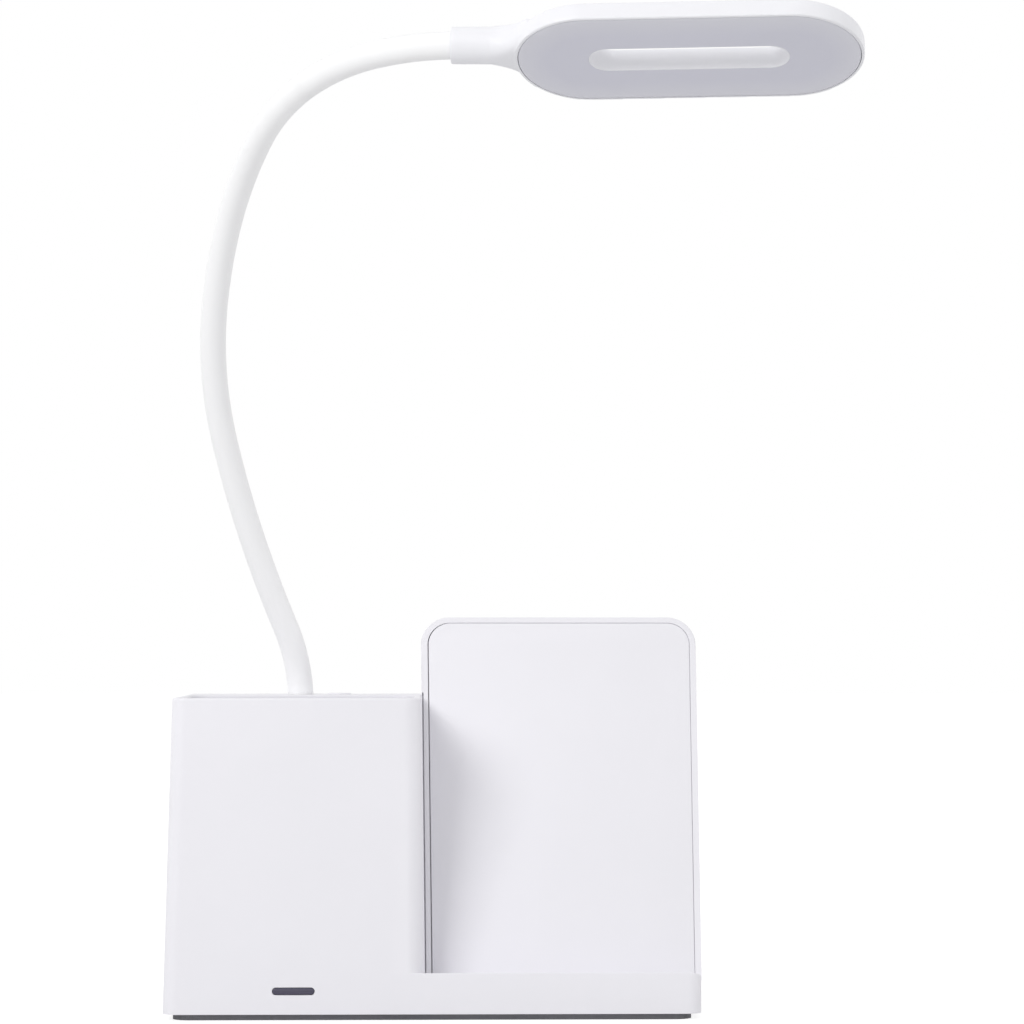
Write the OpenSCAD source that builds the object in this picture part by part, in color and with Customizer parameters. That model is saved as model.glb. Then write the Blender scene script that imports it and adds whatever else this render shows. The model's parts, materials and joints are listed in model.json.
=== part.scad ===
// Desk lamp with a pen pot, a leaning phone stand and a flexible neck.
// Frame: millimetres, +Z up, the front faces -Y, and the origin is the
// middle of the rest face under the anti-slip pad.

/* [Base] */
// Width of the base, left to right
base_w = 151.6; // [140:0.2:180]
// Depth of the base, front to back
base_d = 84; // [82:1:100]
// Height of the front lip above the bench
lip_z = 13.4; // [12:0.2:20]
// Wall thickness of the moulded shell
wall = 2.2; // [1.6:0.1:2.6]
// Radius of the upright edges at the corners
corner_r = 4; // [3:0.5:6]
// Thickness of the anti-slip pad
pad_t = 1.8; // [1:0.1:3]
// How far the pad stands in from the shell
pad_inset = 2.6; // [2.4:0.1:6]
// Corner radius of the pad
pad_r = 5; // [2:0.5:12]
// Thickness of the bottom cover
cover_t = 2; // [1.6:0.1:2.6]
// Clearance round the bottom cover
cover_gap = 0.15; // [0.1:0.05:0.4]

/* [Pen pot] */
// Width of the pot at the bench
pot_w = 73.8; // [66:0.2:80]
// Height of the pot's rim above the bench
pot_z = 90.4; // [80:0.2:110]
// How far the left flank draws in at the rim
pot_draw_left = 2.4; // [0:0.1:4]
// How far the right flank draws in at the rim
pot_draw_right = 1.1; // [0:0.1:3]
// Radius of the pot's right front edge
pot_edge_r = 5.4; // [3:0.2:8]
// Front to back size of the deck behind the pot
deck_d = 28; // [24:0.5:34]
// Draft of the pot's inside, per wall
pot_draft = 0.8; // [0:0.1:2]

/* [Phone stand] */
// Angle by which the stand leans back, and its ledge slopes
lean = 18; // [10:1:25]
// Distance from the front of the lip to the foot of the stand
ledge_d = 15; // [12:0.5:20]
// Height of the top of the stand above the bench
stand_z = 113.5; // [100:0.5:130]
// How far the stand reaches past the base's right side
stand_over = 1; // [0.4:0.1:2]
// How far the stand's right flank flares out at the top
stand_flare = 0.8; // [0:0.1:2]
// Thickness of the stand at its top
stand_t = 13; // [12:0.5:18]
// Radius of the stand's top corners
stand_r = 8.5; // [5:0.5:14]
// Width of the frame round the charging plate
frame_w = 1.8; // [1.4:0.1:3]
// Gap of the groove round the charging plate
plate_gap = 0.25; // [0.1:0.05:0.5]
// Thickness of the charging plate
plate_t = 2; // [1.4:0.1:2.6]
// Height of the charging coil's centre along the plate
coil_v = 58; // [50:1:70]
// Outer radius of the charging coil
coil_r = 22; // [18:0.5:26]
// Inner radius of the charging coil
coil_bore_r = 10; // [6:0.5:14]
// Thickness of the charging coil
coil_t = 1.2; // [0.8:0.1:2]
// Thickness of the ferrite sheet behind the coil
ferrite_t = 0.8; // [0.5:0.1:1.5]
// Thickness of the coil carrier
carrier_t = 1.6; // [1:0.1:2.5]

/* [Neck] */
// Distance of the neck's foot from the base's left side
neck_side = 36.3; // [32:0.1:42]
// Distance of the neck's foot from the base's back
neck_in = 16; // [14:0.5:18]
// Outer radius of the neck's sleeve
neck_r = 3.8; // [3.4:0.1:4.4]
// Wall of the sleeve
sleeve_t = 0.8; // [0.6:0.1:1]
// Outer radius of the flexible core inside the sleeve
core_r = 2.9; // [2.4:0.1:3]
// Bore radius of the core
core_bore_r = 1.6; // [1.4:0.1:1.9]
// Radius of the lead inside the core
lead_r = 1.3; // [0.8:0.1:1.35]
// Radius of the ball on the core at a bending point
ball_r = 3.05; // [2.95:0.05:3.1]
// Angle that each bending point gives, either way
bend_limit = 20; // [10:1:22]
// Length of the ferrule's threaded stem below the deck
stem_l = 20; // [17:0.5:26]
// Depth of the deck's socket for the neck
socket_boss_l = 13; // [10:0.5:16]
// Radius of the ferrule's stem
stem_r = 3.4; // [3.2:0.1:3.6]
// Least gap between two links when bent as far as they go
link_gap = 0.13; // [0.1:0.01:0.3]
// Length of link 1, from the ferrule's head
link_1 = 24.5; // [18:0.5:30]
// Length of link 2
link_2 = 57; // [40:0.5:80]
// Length of link 3
link_3 = 47.5; // [36:0.5:70]
// Length of link 4
link_4 = 55.5; // [40:0.5:80]
// Length of link 5
link_5 = 53.5; // [44:0.5:80]
// Length of link 6, with its end inside the collar
link_6 = 22; // [18:0.5:40]
// Bend of link 1
bend_1 = 23; // [5:1:40]
// Bend of link 2
bend_2 = 19; // [5:1:40]
// Bend of link 3
bend_3 = 21; // [5:1:40]
// Bend of link 4
bend_4 = 25; // [5:1:40]
// Bend of link 5
bend_5 = 44; // [5:1:50]
// Bend of link 6
bend_6 = 21; // [5:1:50]
// Side that link 1 bends to, from +X about its own axis
side_1 = -169; // [-180:1:180]
// Side that link 2 bends to
side_2 = -60; // [-180:1:180]
// Side that link 3 bends to
side_3 = -30; // [-180:1:180]
// Side that link 4 bends to
side_4 = -58; // [-180:1:180]
// Side that link 5 bends to
side_5 = -17; // [-180:1:180]
// Side that link 6 bends to
side_6 = 9; // [-180:1:180]

/* [Lamp head] */
// Length of the oval head
head_l = 94.5; // [80:0.5:120]
// Width of the oval head
head_w = 40; // [36:0.5:46]
// Thickness of the oval head
head_t = 5.6; // [5.4:0.1:8]
// Length of the slot through the head
slot_l = 54; // [40:0.5:60]
// Width of the slot through the head
slot_w = 10.4; // [8:0.2:14]
// Wall of the head's housing
head_wall = 1.3; // [1:0.1:1.6]
// Width of the housing's rim round the diffuser
rim_w = 0.8; // [0.6:0.1:1]
// Thickness of the diffuser
diffuser_t = 1.4; // [1:0.1:1.8]
// Rounding of the head's back edge
head_round = 1.5; // [1:0.1:2]
// Radius of the collar
collar_r = 5.1; // [4.9:0.1:6]
// Height of the collar's axis over the middle of the head's thickness
collar_up = 1.2; // [0.8:0.1:2]
// Length of the collar's straight part
collar_l = 11; // [10:0.5:14]
// Distance from the collar's mouth to the near end of the oval
head_start = 17.5; // [15:0.5:22]
// Length over which the collar widens into the oval
flare_l = 10; // [8:0.5:12]
// Length of the hump in which the collar sinks into the oval's back
hump_l = 18; // [16:0.5:24]
// Angle by which the oval's far end is tilted towards its back
head_tilt = 1.5; // [0:0.5:3]
// Depth to which the sleeve enters the collar
collar_cup = 2; // [1:0.5:3]
// Radius of the metal spigot inside the collar
spigot_r = 3.4; // [3.2:0.1:3.6]
// Turn of the head about the neck's end
head_roll = -83; // [-180:1:180]
// Running clearance of the head on its spigot
spigot_gap = 0.05; // [0.02:0.01:0.1]
// Number of light chips round the head
chip_count = 24; // [12:1:30]

/* [Controls and socket] */
// Distance of the button from the neck's axis
button_dx = 11.5; // [10.5:0.5:16]
// Radius of the power button
button_r = 3.6; // [3:0.1:4]
// Travel of the power button
button_travel = 0.6; // [0.3:0.1:0.8]
// Clearance round the button
button_gap = 0.15; // [0.1:0.05:0.3]
// Length of the indicator lens
lens_l = 11.8; // [6:0.2:16]
// Height of the indicator lens
lens_h = 2; // [1.2:0.1:3]
// Distance of the lens from the base's left side
lens_side = 36.8; // [26:0.2:44]
// Height of the lens above the bench
lens_z = 8.3; // [7.5:0.1:9]
// Width of the power socket
socket_w = 9; // [8.8:0.05:9.2]
// Height of the power socket
socket_h = 3.3; // [3.1:0.05:3.4]
// Length of the power socket
socket_l = 7.4; // [6.5:0.1:9]
// Distance of the socket from the base's left side
socket_side = 55.8; // [40:0.2:60]

/* [Inside] */
// Thickness of the circuit boards
board_t = 1.2; // [0.8:0.1:1.6]
// Height of the main board's underside above the bench
board_z = 6; // [5.5:0.1:6.5]
// Thickness of the steel weight
weight_t = 3; // [2:0.2:3.4]
// Radius of the screw shanks
screw_r = 1.2; // [1:0.1:1.4]
// Radius of the screw bosses
boss_r = 3.2; // [3:0.1:4]

/* [Hidden] */
LINKS = 6;
$fn = 64;
eps = 0.02;
far = 300;

// Edges of the base and the pot
shell_z = pad_t;
left_x = -base_w / 2;
right_x = base_w / 2;
front_y = -base_d / 2;
back_y = base_d / 2;
pot_x = left_x + pot_w;
pot_slope = pot_draw_right / (pot_z - shell_z);
deck_y = back_y - deck_d;
cover_top = shell_z + cover_t;
ceiling_z = lip_z - wall;
deck_roof = wall + 0.3;
foot = [left_x + neck_side, back_y - neck_in, pot_z];
lens_x = left_x + lens_side;
socket_x = left_x + socket_side;
function flank_x(z) = pot_x - pot_slope * (z - shell_z);

// The stand's front plane: its foot, and points at height v along it and d behind it
foot_y = front_y + ledge_d;
foot_z = lip_z - ledge_d * tan(lean);
stand_v = (stand_z - foot_z) / cos(lean);
function on_plane(v, d) = [
  foot_y + v * sin(lean) + d * cos(lean),
  foot_z + v * cos(lean) - d * sin(lean)
];

// Outline of a polygon with every corner rounded to its own radius
function unit(v) = v / norm(v);
function corner(a, b, c, r, n = 8) =
  let (
    u = unit(a - b),
    w = unit(c - b),
    half = acos(u * w) / 2,
    centre = b + unit(u + w) * r / sin(half),
    p = b + u * r / tan(half) - centre,
    q = b + w * r / tan(half) - centre,
    sweep = 180 - 2 * half,
    turn = sign(p[0] * q[1] - p[1] * q[0])
  )
  r <= 0 ? [b] : [
    for (i = [0:n])
      let (a = turn * sweep * i / n)
      centre + [p[0] * cos(a) - p[1] * sin(a), p[0] * sin(a) + p[1] * cos(a)]
  ];
function rounded(p, r) = [
  for (i = [0:len(p) - 1])
    each corner(p[(i + len(p) - 1) % len(p)], p[i], p[(i + 1) % len(p)], r[i])
];

// Stand outline in its own plane, set in by a distance on every side
function stand_outline(inset) = let (
    low = inset - eps,
    left_low = flank_x(foot_z) + inset,
    left_top = flank_x(stand_z) + inset,
    right_low = right_x + stand_over - inset,
    right_top = right_x + stand_over + stand_flare - inset,
    r = max(stand_r - inset, 1)
  )
  rounded(
    [[left_low, low], [right_low, low], [right_top, stand_v - inset], [left_top, stand_v - inset]],
    [1, 1, r, r]
  );

// Places a drawing made in the stand's plane, with +Z pointing d behind it
module in_stand(d = 0) {
  translate([0, on_plane(0, d)[0], on_plane(0, d)[1]])
    rotate([90 - lean, 0, 0])
      mirror([0, 0, 1])
        children();
}

// Extrudes a drawing of Y against Z along X
module along_x(x0, x1) {
  translate([x0, 0, 0])
    rotate([90, 0, 90])
      linear_extrude(x1 - x0)
        children();
}

// Rectangle with round corners, drawn from its lower left corner
module round_rect(x0, y0, x1, y1, r) {
  polygon(rounded([[x0, y0], [x1, y0], [x1, y1], [x0, y1]], [r, r, r, r]));
}

// Oval with straight sides, centred
module oval(l, w) {
  square([l - w, w], center = true);
  for (s = [-1, 1])
    translate([s * (l - w) / 2, 0])
      circle(w / 2);
}

// ---- Main shell ----

// Tapering block on four round corners: low and high rectangles [x0, y0, x1, y1] and corner radii
module tapered(low, high, z0, z1, r) {
  slice = 0.01;
  hull()
    for (k = [0, 1])
      translate([0, 0, k == 0 ? z0 : z1 - slice])
        for (i = [0:3])
          let (b = k == 0 ? low : high, px = i == 0 || i == 3 ? b[0] + r[i] : b[2] - r[i])
          let (py = i < 2 ? b[1] + r[i] : b[3] - r[i])
          translate([px, py, 0])
            cylinder(r = r[i], h = slice, $fn = 32);
}

pot_corners = [corner_r, pot_edge_r, corner_r, corner_r];
pot_low = [left_x, front_y, pot_x, back_y];
pot_high = [left_x + pot_draw_left, front_y, pot_x - pot_draw_right, back_y];
cup_r = 4.6;
cup_high = [pot_high[0] + wall, front_y + wall, pot_high[2] - wall, deck_y];
cup_in = (pot_z - lip_z) * tan(pot_draft);
cup_low = [cup_high[0] + cup_in, cup_high[1] + cup_in, cup_high[2] - cup_in, cup_high[3] - cup_in];

ledge_x = pot_x - 2 * pot_edge_r;

module stand_block() {
  intersection() {
    along_x(left_x, right_x + stand_over + stand_flare + 1)
      polygon([
        on_plane(0, 0),
        on_plane(stand_v + 1, 0),
        on_plane(stand_v + 1, stand_t),
        on_plane(stand_v, stand_t),
        [back_y, lip_z],
        [back_y, foot_z]
      ]);
    in_stand(-1)
      linear_extrude(far)
        polygon(stand_outline(0));
  }
}

module shell_outside() {
  tapered(pot_low, pot_high, shell_z, pot_z, pot_corners);
  difference() {
    translate([0, 0, shell_z])
      linear_extrude(lip_z - shell_z)
        polygon(rounded(
          [[ledge_x, front_y], [right_x, front_y], [right_x, back_y], [ledge_x, back_y]],
          [0, corner_r, corner_r, 0]
        ));
    along_x(ledge_x - 1, right_x + 1)
      polygon([
        [front_y - far, lip_z + far * tan(lean)],
        [foot_y, foot_z],
        on_plane(2 * ledge_d, 0.5),
        [front_y - far, lip_z + far]
      ]);
  }
  stand_block();
}

// Room under the ledge and inside the stand, drawn as Y against Z
module stand_room() {
  in_d = plate_t + 1.6;
  ledge_in = wall / cos(lean);
  polygon([
    [front_y + wall, shell_z - 1],
    [front_y + wall, lip_z - wall * tan(lean) - ledge_in],
    [foot_y + in_d * cos(lean), foot_z - in_d * sin(lean) - ledge_in],
    on_plane(stand_v - wall, in_d),
    on_plane(stand_v - wall, stand_t - wall),
    [back_y - wall, lip_z - wall],
    [back_y - wall, shell_z - 1]
  ]);
}

stand_left = pot_x + frame_w + 2;
inner_r = max(corner_r - wall, 1);
function ledge_z(y) = lip_z - (y - front_y) * tan(lean);

module shell_inside() {
  // Under the pot
  translate([0, 0, shell_z - 1])
    linear_extrude(ceiling_z - shell_z + 1)
      round_rect(left_x + wall, front_y + wall, pot_x - eps, back_y - wall, inner_r);
  // Under the ledge and up into the stand
  along_x(pot_x - wall, right_x - wall)
    intersection() {
      stand_room();
      translate([front_y, shell_z - 1])
        square([base_d, foot_z - wall - shell_z]);
    }
  along_x(stand_left, right_x - wall)
    stand_room();
  // Behind the pen cup, up to the deck
  translate([0, 0, ceiling_z - 1])
    linear_extrude(pot_z - deck_roof - ceiling_z + 1)
      round_rect(cup_high[0], deck_y + wall, cup_high[2], back_y - wall, inner_r);
  // Pen cup
  tapered(cup_low, cup_high, lip_z, pot_z + eps, [cup_r, cup_r, cup_r, cup_r]);
  // Recess and window of the charging plate
  in_stand(-1)
    linear_extrude(plate_t + 1)
      polygon(stand_outline(frame_w));
  in_stand(0)
    linear_extrude(plate_t + 3)
      polygon(stand_outline(frame_w + 2.5));
}

module main_shell() {
  color("white")
    difference() {
      union() {
        difference() {
          shell_outside();
          shell_inside();
        }
        posts();
      }
      neck_hole();
      button_hole();
      lens_hole(0.1);
      socket_hole();
      post_holes();
    }
}

// ---- Screw posts, holes and screws ----

head_r = 2 * screw_r;
head_h = screw_r;
fit_gap = 0.05;
post_in = wall + boss_r - 0.2;
cover_posts = [
  [left_x + post_in, front_y + post_in, ceiling_z + 0.5],
  [left_x + post_in, back_y - post_in, ceiling_z + 0.5],
  [right_x - post_in, back_y - post_in, ceiling_z + 0.5],
  [right_x - post_in, front_y + post_in, ledge_z(front_y + post_in + boss_r) - 0.5]
];
cover_screw_l = 6;

board_top = board_z + board_t;
board_box = [left_x + 9.2, front_y + 4.5, pot_x - 7, back_y - 4];
board_posts = [
  [board_box[0] + 6.5, board_box[1] + 9.5],
  [board_box[0] + 6.5, deck_y - 6],
  [board_box[2] - 6.5, board_box[1] + 9.5],
  [board_box[2] - 6.5, deck_y - 6]
];
board_screw_l = 3.4;

button_at = [foot[0] + button_dx, foot[1]];
button_flange_t = 1;
button_proud = 0.4;
switch_h = 3.5;
roof_z = pot_z - deck_roof;
flange_z = roof_z - button_flange_t - fit_gap;
switch_top = flange_z - button_travel - 0.4;
switch_board_top = switch_top - switch_h;
switch_board_half = [4.9, 9.3];
switch_post_in = switch_board_half[1] - 2.3;
switch_posts = [
  [button_at[0], button_at[1] - switch_post_in],
  [button_at[0], button_at[1] + switch_post_in]
];
small_r = 0.9;

// Screw with its head down at the origin and its shank upwards
module screw(r, l) {
  cylinder(r = 2 * r, h = r);
  cylinder(r = r, h = r + l);
}

module posts() {
  for (p = cover_posts)
    translate([p[0], p[1], cover_top])
      cylinder(r = boss_r, h = p[2] - cover_top);
  for (p = board_posts)
    translate([p[0], p[1], board_top])
      cylinder(r = boss_r - 0.6, h = ceiling_z + 0.5 - board_top);
  for (p = switch_posts)
    translate([p[0], p[1], switch_board_top])
      cylinder(r = 2, h = roof_z + 0.5 - switch_board_top);
  translate([foot[0], foot[1], pot_z - socket_boss_l])
    cylinder(r = stem_r + wall + 0.4, h = socket_boss_l - 1);
}

module post_holes() {
  for (p = cover_posts)
    translate([p[0], p[1], cover_top - 1])
      cylinder(r = screw_r + fit_gap, h = min(cover_screw_l + 1, p[2] - cover_top));
  for (p = board_posts)
    translate([p[0], p[1], board_top - 1])
      cylinder(r = small_r + fit_gap, h = board_screw_l + 0.2);
  for (p = switch_posts)
    translate([p[0], p[1], switch_board_top - 1])
      cylinder(r = small_r + fit_gap, h = 4);
}

// Round hole in the deck: a cup for the sleeve over a bore for the ferrule's stem
sleeve_dip = 2.8;
ferrule_head = 1.2;
sleeve_gap = 0.3;
module neck_hole() {
  translate(foot) {
    translate([0, 0, -socket_boss_l - 1])
      cylinder(r = stem_r + fit_gap, h = socket_boss_l + 2);
    translate([0, 0, -sleeve_dip - ferrule_head])
      cylinder(r = neck_r + sleeve_gap, h = far);
  }
}

module button_hole() {
  translate([button_at[0], button_at[1], roof_z - 1])
    cylinder(r = button_r + button_gap, h = far);
}

// Drawing of X against Z, pushed back along +Y from a given depth
module from_front(y, l) {
  translate([0, y, 0])
    rotate([90, 0, 0])
      mirror([0, 0, 1])
        linear_extrude(l)
          children();
}

module lens_hole(gap) {
  from_front(front_y - 1, wall + 1 + eps)
    translate([lens_x, lens_z])
      oval(lens_l + 2 * gap, lens_h + 2 * gap);
}

socket_mouth = 0.4;
socket_z = board_top + socket_h / 2;
module socket_face(grow) {
  w = socket_w + 2 * grow;
  h = socket_h + 2 * grow;
  translate([socket_x, socket_z])
    oval(w, h);
}
module socket_hole() {
  from_front(back_y - wall - 1, wall + 2)
    socket_face(0.15);
}

// ---- Underside ----

module bottom_cover() {
  in = wall + cover_gap;
  color("whitesmoke")
    difference() {
      union() {
        translate([0, 0, shell_z])
          linear_extrude(cover_t)
            round_rect(left_x + in, front_y + in, right_x - in, back_y - in, inner_r);
        for (p = ballast_posts)
          translate([p[0], p[1], cover_top - 1])
            cylinder(r = ballast_post_r, h = weight_t + 1 - fit_gap);
        for (x = [board_box[0] + 6, board_box[2] - 6])
          translate([x, board_box[3] - 4, cover_top - 1])
            cylinder(r = 2.5, h = board_z - cover_top + 1);
      }
      for (p = cover_posts)
        translate([p[0], p[1], shell_z - 1]) {
          cylinder(r = screw_r + 0.2, h = cover_t + 2);
          cylinder(r = head_r + 0.15, h = 1 + head_h);
        }
      for (p = ballast_posts)
        translate([p[0], p[1], shell_z + 0.8])
          cylinder(r = small_r + fit_gap, h = far);
    }
}

module base_pad() {
  color("dimgray")
    linear_extrude(pad_t)
      round_rect(left_x + pad_inset, front_y + pad_inset, right_x - pad_inset, back_y - pad_inset, pad_r);
}

module cover_screws() {
  color("silver")
    for (p = cover_posts)
      translate([p[0], p[1], shell_z])
        screw(screw_r, min(cover_screw_l + cover_t - head_h, p[2] - shell_z - head_h - 1));
}

ballast_box = [stand_left + 3, foot_y + 7, right_x - 8, back_y - 8];
ballast_post_r = 2.6;
ballast_mid_y = (ballast_box[1] + ballast_box[3]) / 2;
ballast_posts = [[ballast_box[0] + 9, ballast_mid_y], [ballast_box[2] - 9, ballast_mid_y]];

module ballast_plate() {
  color("slategray")
    difference() {
      translate([0, 0, cover_top])
        linear_extrude(weight_t)
          round_rect(ballast_box[0], ballast_box[1], ballast_box[2], ballast_box[3], 3);
      for (p = ballast_posts)
        translate([p[0], p[1], cover_top - 1])
          cylinder(r = ballast_post_r + 0.1, h = weight_t + 2);
    }
}

module ballast_screws() {
  color("silver")
    for (p = ballast_posts)
      translate([p[0], p[1], cover_top + weight_t + 1.2])
        mirror([0, 0, 1]) {
          cylinder(r = ballast_post_r + 1.4, h = 1.2);
          cylinder(r = small_r, h = 4);
        }
}

// ---- Electronics in the base ----

module plate_of(box, z, t, r = 1) {
  translate([0, 0, z])
    linear_extrude(t)
      round_rect(box[0], box[1], box[2], box[3], r);
}

module main_board() {
  color("seagreen")
    difference() {
      plate_of(board_box, board_z, board_t);
      for (p = board_posts)
        translate([p[0], p[1], board_z - 1])
          cylinder(r = small_r + 0.1, h = board_t + 2);
    }
}

// Chip, coil and capacitors on the main board
part_mid = [(board_box[0] + board_box[2]) / 2, (board_box[1] + board_box[3]) / 2];
module board_parts() {
  color("dimgray")
    translate([part_mid[0], part_mid[1], board_top]) {
      translate([-12, -8, 0])
        linear_extrude(1.4)
          square([7, 7]);
      translate([4, -10, 0])
        linear_extrude(3)
          round_rect(0, 0, 7, 7, 1.5);
      for (i = [0:2])
        translate([-14 + 6 * i, 8, 0])
          cylinder(r = 2, h = 3.4);
      for (i = [0:4])
        translate([8, 4 + 2.6 * i, 0])
          linear_extrude(0.8)
            square([3.2, 1.6]);
    }
}

module board_screws() {
  color("silver")
    for (p = board_posts)
      translate([p[0], p[1], board_z - small_r])
        screw(small_r, board_t + board_screw_l - 1.2);
}

socket_wall = 0.3;
tongue_h = 0.7;
module usb_socket() {
  color("silver")
    difference() {
      from_front(back_y - socket_mouth - socket_l, socket_l)
        socket_face(0);
      from_front(back_y - socket_mouth - socket_l + 0.6, socket_l)
        socket_face(-socket_wall);
    }
}

module usb_tongue() {
  color("black")
    from_front(back_y - socket_mouth - socket_l + 0.6, socket_l - 1.8)
      translate([socket_x - socket_w / 2 + 1.3, socket_z - tongue_h / 2])
        square([socket_w - 2.6, tongue_h]);
}

lens_flange = 0.8;
lens_flange_t = 1.2;
guide_l = 3;
module indicator_lens() {
  color("slategray") {
    from_front(front_y, wall)
      translate([lens_x, lens_z])
        oval(lens_l, lens_h);
    from_front(front_y + wall, lens_flange_t)
      translate([lens_x, lens_z])
        oval(lens_l + 2 * lens_flange, lens_h + 2 * lens_flange);
    from_front(front_y + wall + lens_flange_t, guide_l)
      translate([lens_x, lens_z])
        square([lens_l - lens_h, lens_h - 0.6], center = true);
  }
}

module indicator_led() {
  color("lightyellow")
    translate([lens_x, front_y + wall + lens_flange_t + guide_l + 0.3, board_top])
      linear_extrude(lens_z - board_top + 0.6)
        translate([-1.75, 0])
          square([3.5, 1.4]);
}

// ---- Phone stand ----

coil_x = (stand_left + right_x - wall) / 2;
coil_d = plate_t;
ferrite_d = coil_d + coil_t;
carrier_d = ferrite_d + ferrite_t;
ferrite_r = coil_r + 1.5;
carrier_half = ferrite_r + 3.4;
carrier_bolt = ferrite_r + 0.9;
standoff_l = 2.4;
charge_half = [18, 15];
charge_d = carrier_d + carrier_t + standoff_l;
corners = [[-1, -1], [1, -1], [1, 1], [-1, 1]];

module charging_plate() {
  color("white")
    difference() {
      union() {
        in_stand(0)
          linear_extrude(plate_t)
            polygon(stand_outline(frame_w + plate_gap));
        in_stand(plate_t - 0.5)
          for (c = corners)
            translate([coil_x + c[0] * carrier_bolt, coil_v + c[1] * carrier_bolt, 0])
              cylinder(r = 2.2, h = coil_t + ferrite_t + 0.5);
      }
      in_stand(plate_t - 0.6)
        for (c = corners)
          translate([coil_x + c[0] * carrier_bolt, coil_v + c[1] * carrier_bolt, 0])
            cylinder(r = small_r + fit_gap, h = coil_t + ferrite_t + 2);
    }
}

module coil_winding() {
  color("peru")
    in_stand(coil_d)
      translate([coil_x, coil_v, 0])
        linear_extrude(coil_t)
          difference() {
            circle(coil_r);
            circle(coil_bore_r);
          }
}

module ferrite_sheet() {
  color("dimgray")
    in_stand(ferrite_d)
      translate([coil_x, coil_v, 0])
        cylinder(r = ferrite_r, h = ferrite_t);
}

module coil_carrier() {
  color("gainsboro")
    difference() {
      union() {
        in_stand(carrier_d)
          translate([coil_x, coil_v, 0])
            linear_extrude(carrier_t)
              round_rect(-carrier_half, -carrier_half, carrier_half, carrier_half, 3);
        in_stand(carrier_d + carrier_t - 0.5)
          for (c = corners)
            translate([coil_x + c[0] * (charge_half[0] - 4), coil_v + c[1] * (charge_half[1] - 4), 0])
              cylinder(r = 1.8, h = standoff_l + 0.5);
      }
      in_stand(carrier_d - 1)
        for (c = corners)
          translate([coil_x + c[0] * carrier_bolt, coil_v + c[1] * carrier_bolt, 0])
            cylinder(r = small_r + 0.1, h = carrier_t + 2);
    }
}

module carrier_screws() {
  color("silver")
    in_stand(carrier_d + carrier_t + small_r)
      for (c = corners)
        translate([coil_x + c[0] * carrier_bolt, coil_v + c[1] * carrier_bolt, 0])
          mirror([0, 0, 1])
            screw(small_r, carrier_t + coil_t + ferrite_t);
}

module charge_board() {
  color("seagreen")
    in_stand(charge_d)
      translate([coil_x, coil_v, 0])
        linear_extrude(board_t)
          round_rect(-charge_half[0], -charge_half[1], charge_half[0], charge_half[1], 1);
}

module charge_parts() {
  color("dimgray")
    in_stand(charge_d + board_t)
      translate([coil_x, coil_v, 0]) {
        translate([-9, -5, 0])
          linear_extrude(1.2)
            square([7, 7]);
        for (i = [0:3])
          translate([2 + 3.4 * i, 6, 0])
            linear_extrude(1.6)
              square([2, 3.2]);
        for (i = [0:2])
          translate([4 + 4.4 * i, -8, 0])
            cylinder(r = 1.6, h = 2.6);
      }
}

// ---- Power button and its switch ----

module power_button() {
  color("white")
    translate([button_at[0], button_at[1], flange_z]) {
      cylinder(r = button_r + 1, h = button_flange_t);
      cylinder(r = button_r, h = pot_z + button_proud - flange_z);
    }
}

plunger_r = 1.5;
plunger_in = 1.2;
module switch_plunger() {
  color("black")
    translate([button_at[0], button_at[1], switch_top - plunger_in])
      cylinder(r = plunger_r, h = flange_z - switch_top + plunger_in);
}

module tact_switch() {
  color("dimgray")
    difference() {
      translate([button_at[0], button_at[1], switch_board_top])
        linear_extrude(switch_h)
          round_rect(-3, -3, 3, 3, 0.4);
      translate([button_at[0], button_at[1], switch_top - plunger_in - button_travel - 0.3])
        cylinder(r = plunger_r + fit_gap, h = far);
    }
}

module switch_board() {
  color("seagreen")
    difference() {
      translate([button_at[0], button_at[1], switch_board_top - board_t])
        linear_extrude(board_t)
          round_rect(
            -switch_board_half[0],
            -switch_board_half[1],
            switch_board_half[0],
            switch_board_half[1],
            1
          );
      for (p = switch_posts)
        translate([p[0], p[1], switch_board_top - board_t - 1])
          cylinder(r = small_r + 0.1, h = board_t + 2);
    }
}

module switch_screws() {
  color("silver")
    for (p = switch_posts)
      translate([p[0], p[1], switch_board_top - board_t - small_r])
        screw(small_r, board_t + 2.6);
}

// ---- Flexible neck ----

link_l = [link_1, link_2, link_3, link_4, link_5, link_6];
link_bend = [bend_1, bend_2, bend_3, bend_4, bend_5, bend_6];
link_side = [side_1, side_2, side_3, side_4, side_5, side_6];

// Half of the gap at a bending point, and the length and radius of a link's arc
half_gap = neck_r * tan(bend_limit / 2) + link_gap;
function start_gap(i) = i == 1 ? 0 : half_gap;
function end_gap(i) = i == LINKS ? 0 : half_gap;
function bend_l(i) = link_l[i - 1] - start_gap(i) - end_gap(i);
function bend_radius(i) = bend_l(i) * 180 / (PI * link_bend[i - 1]);

// Places its children at the end of link i, seen from the link's start
module link_end(i) {
  a = link_bend[i - 1];
  r = bend_radius(i);
  translate([0, 0, start_gap(i)])
    rotate([0, 0, link_side[i - 1]])
      translate([r * (1 - cos(a)), 0, r * sin(a)])
        rotate([0, a, 0])
          rotate([0, 0, -link_side[i - 1]])
            translate([0, 0, end_gap(i)])
              children();
}

// Places its children at the start of link i
module link_start(i) {
  if (i == 1)
    translate([foot[0], foot[1], foot[2] - sleeve_dip])
      children();
  else
    link_start(i - 1)
      link_end(i - 1)
        children();
}

// Round tube or rod, ro outside and ri inside
module ring(ro, ri) {
  difference() {
    circle(ro);
    if (ri > 0)
      circle(ri);
  }
}
module pipe(ro, ri, h) {
  linear_extrude(h)
    ring(ro, ri);
}

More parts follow.
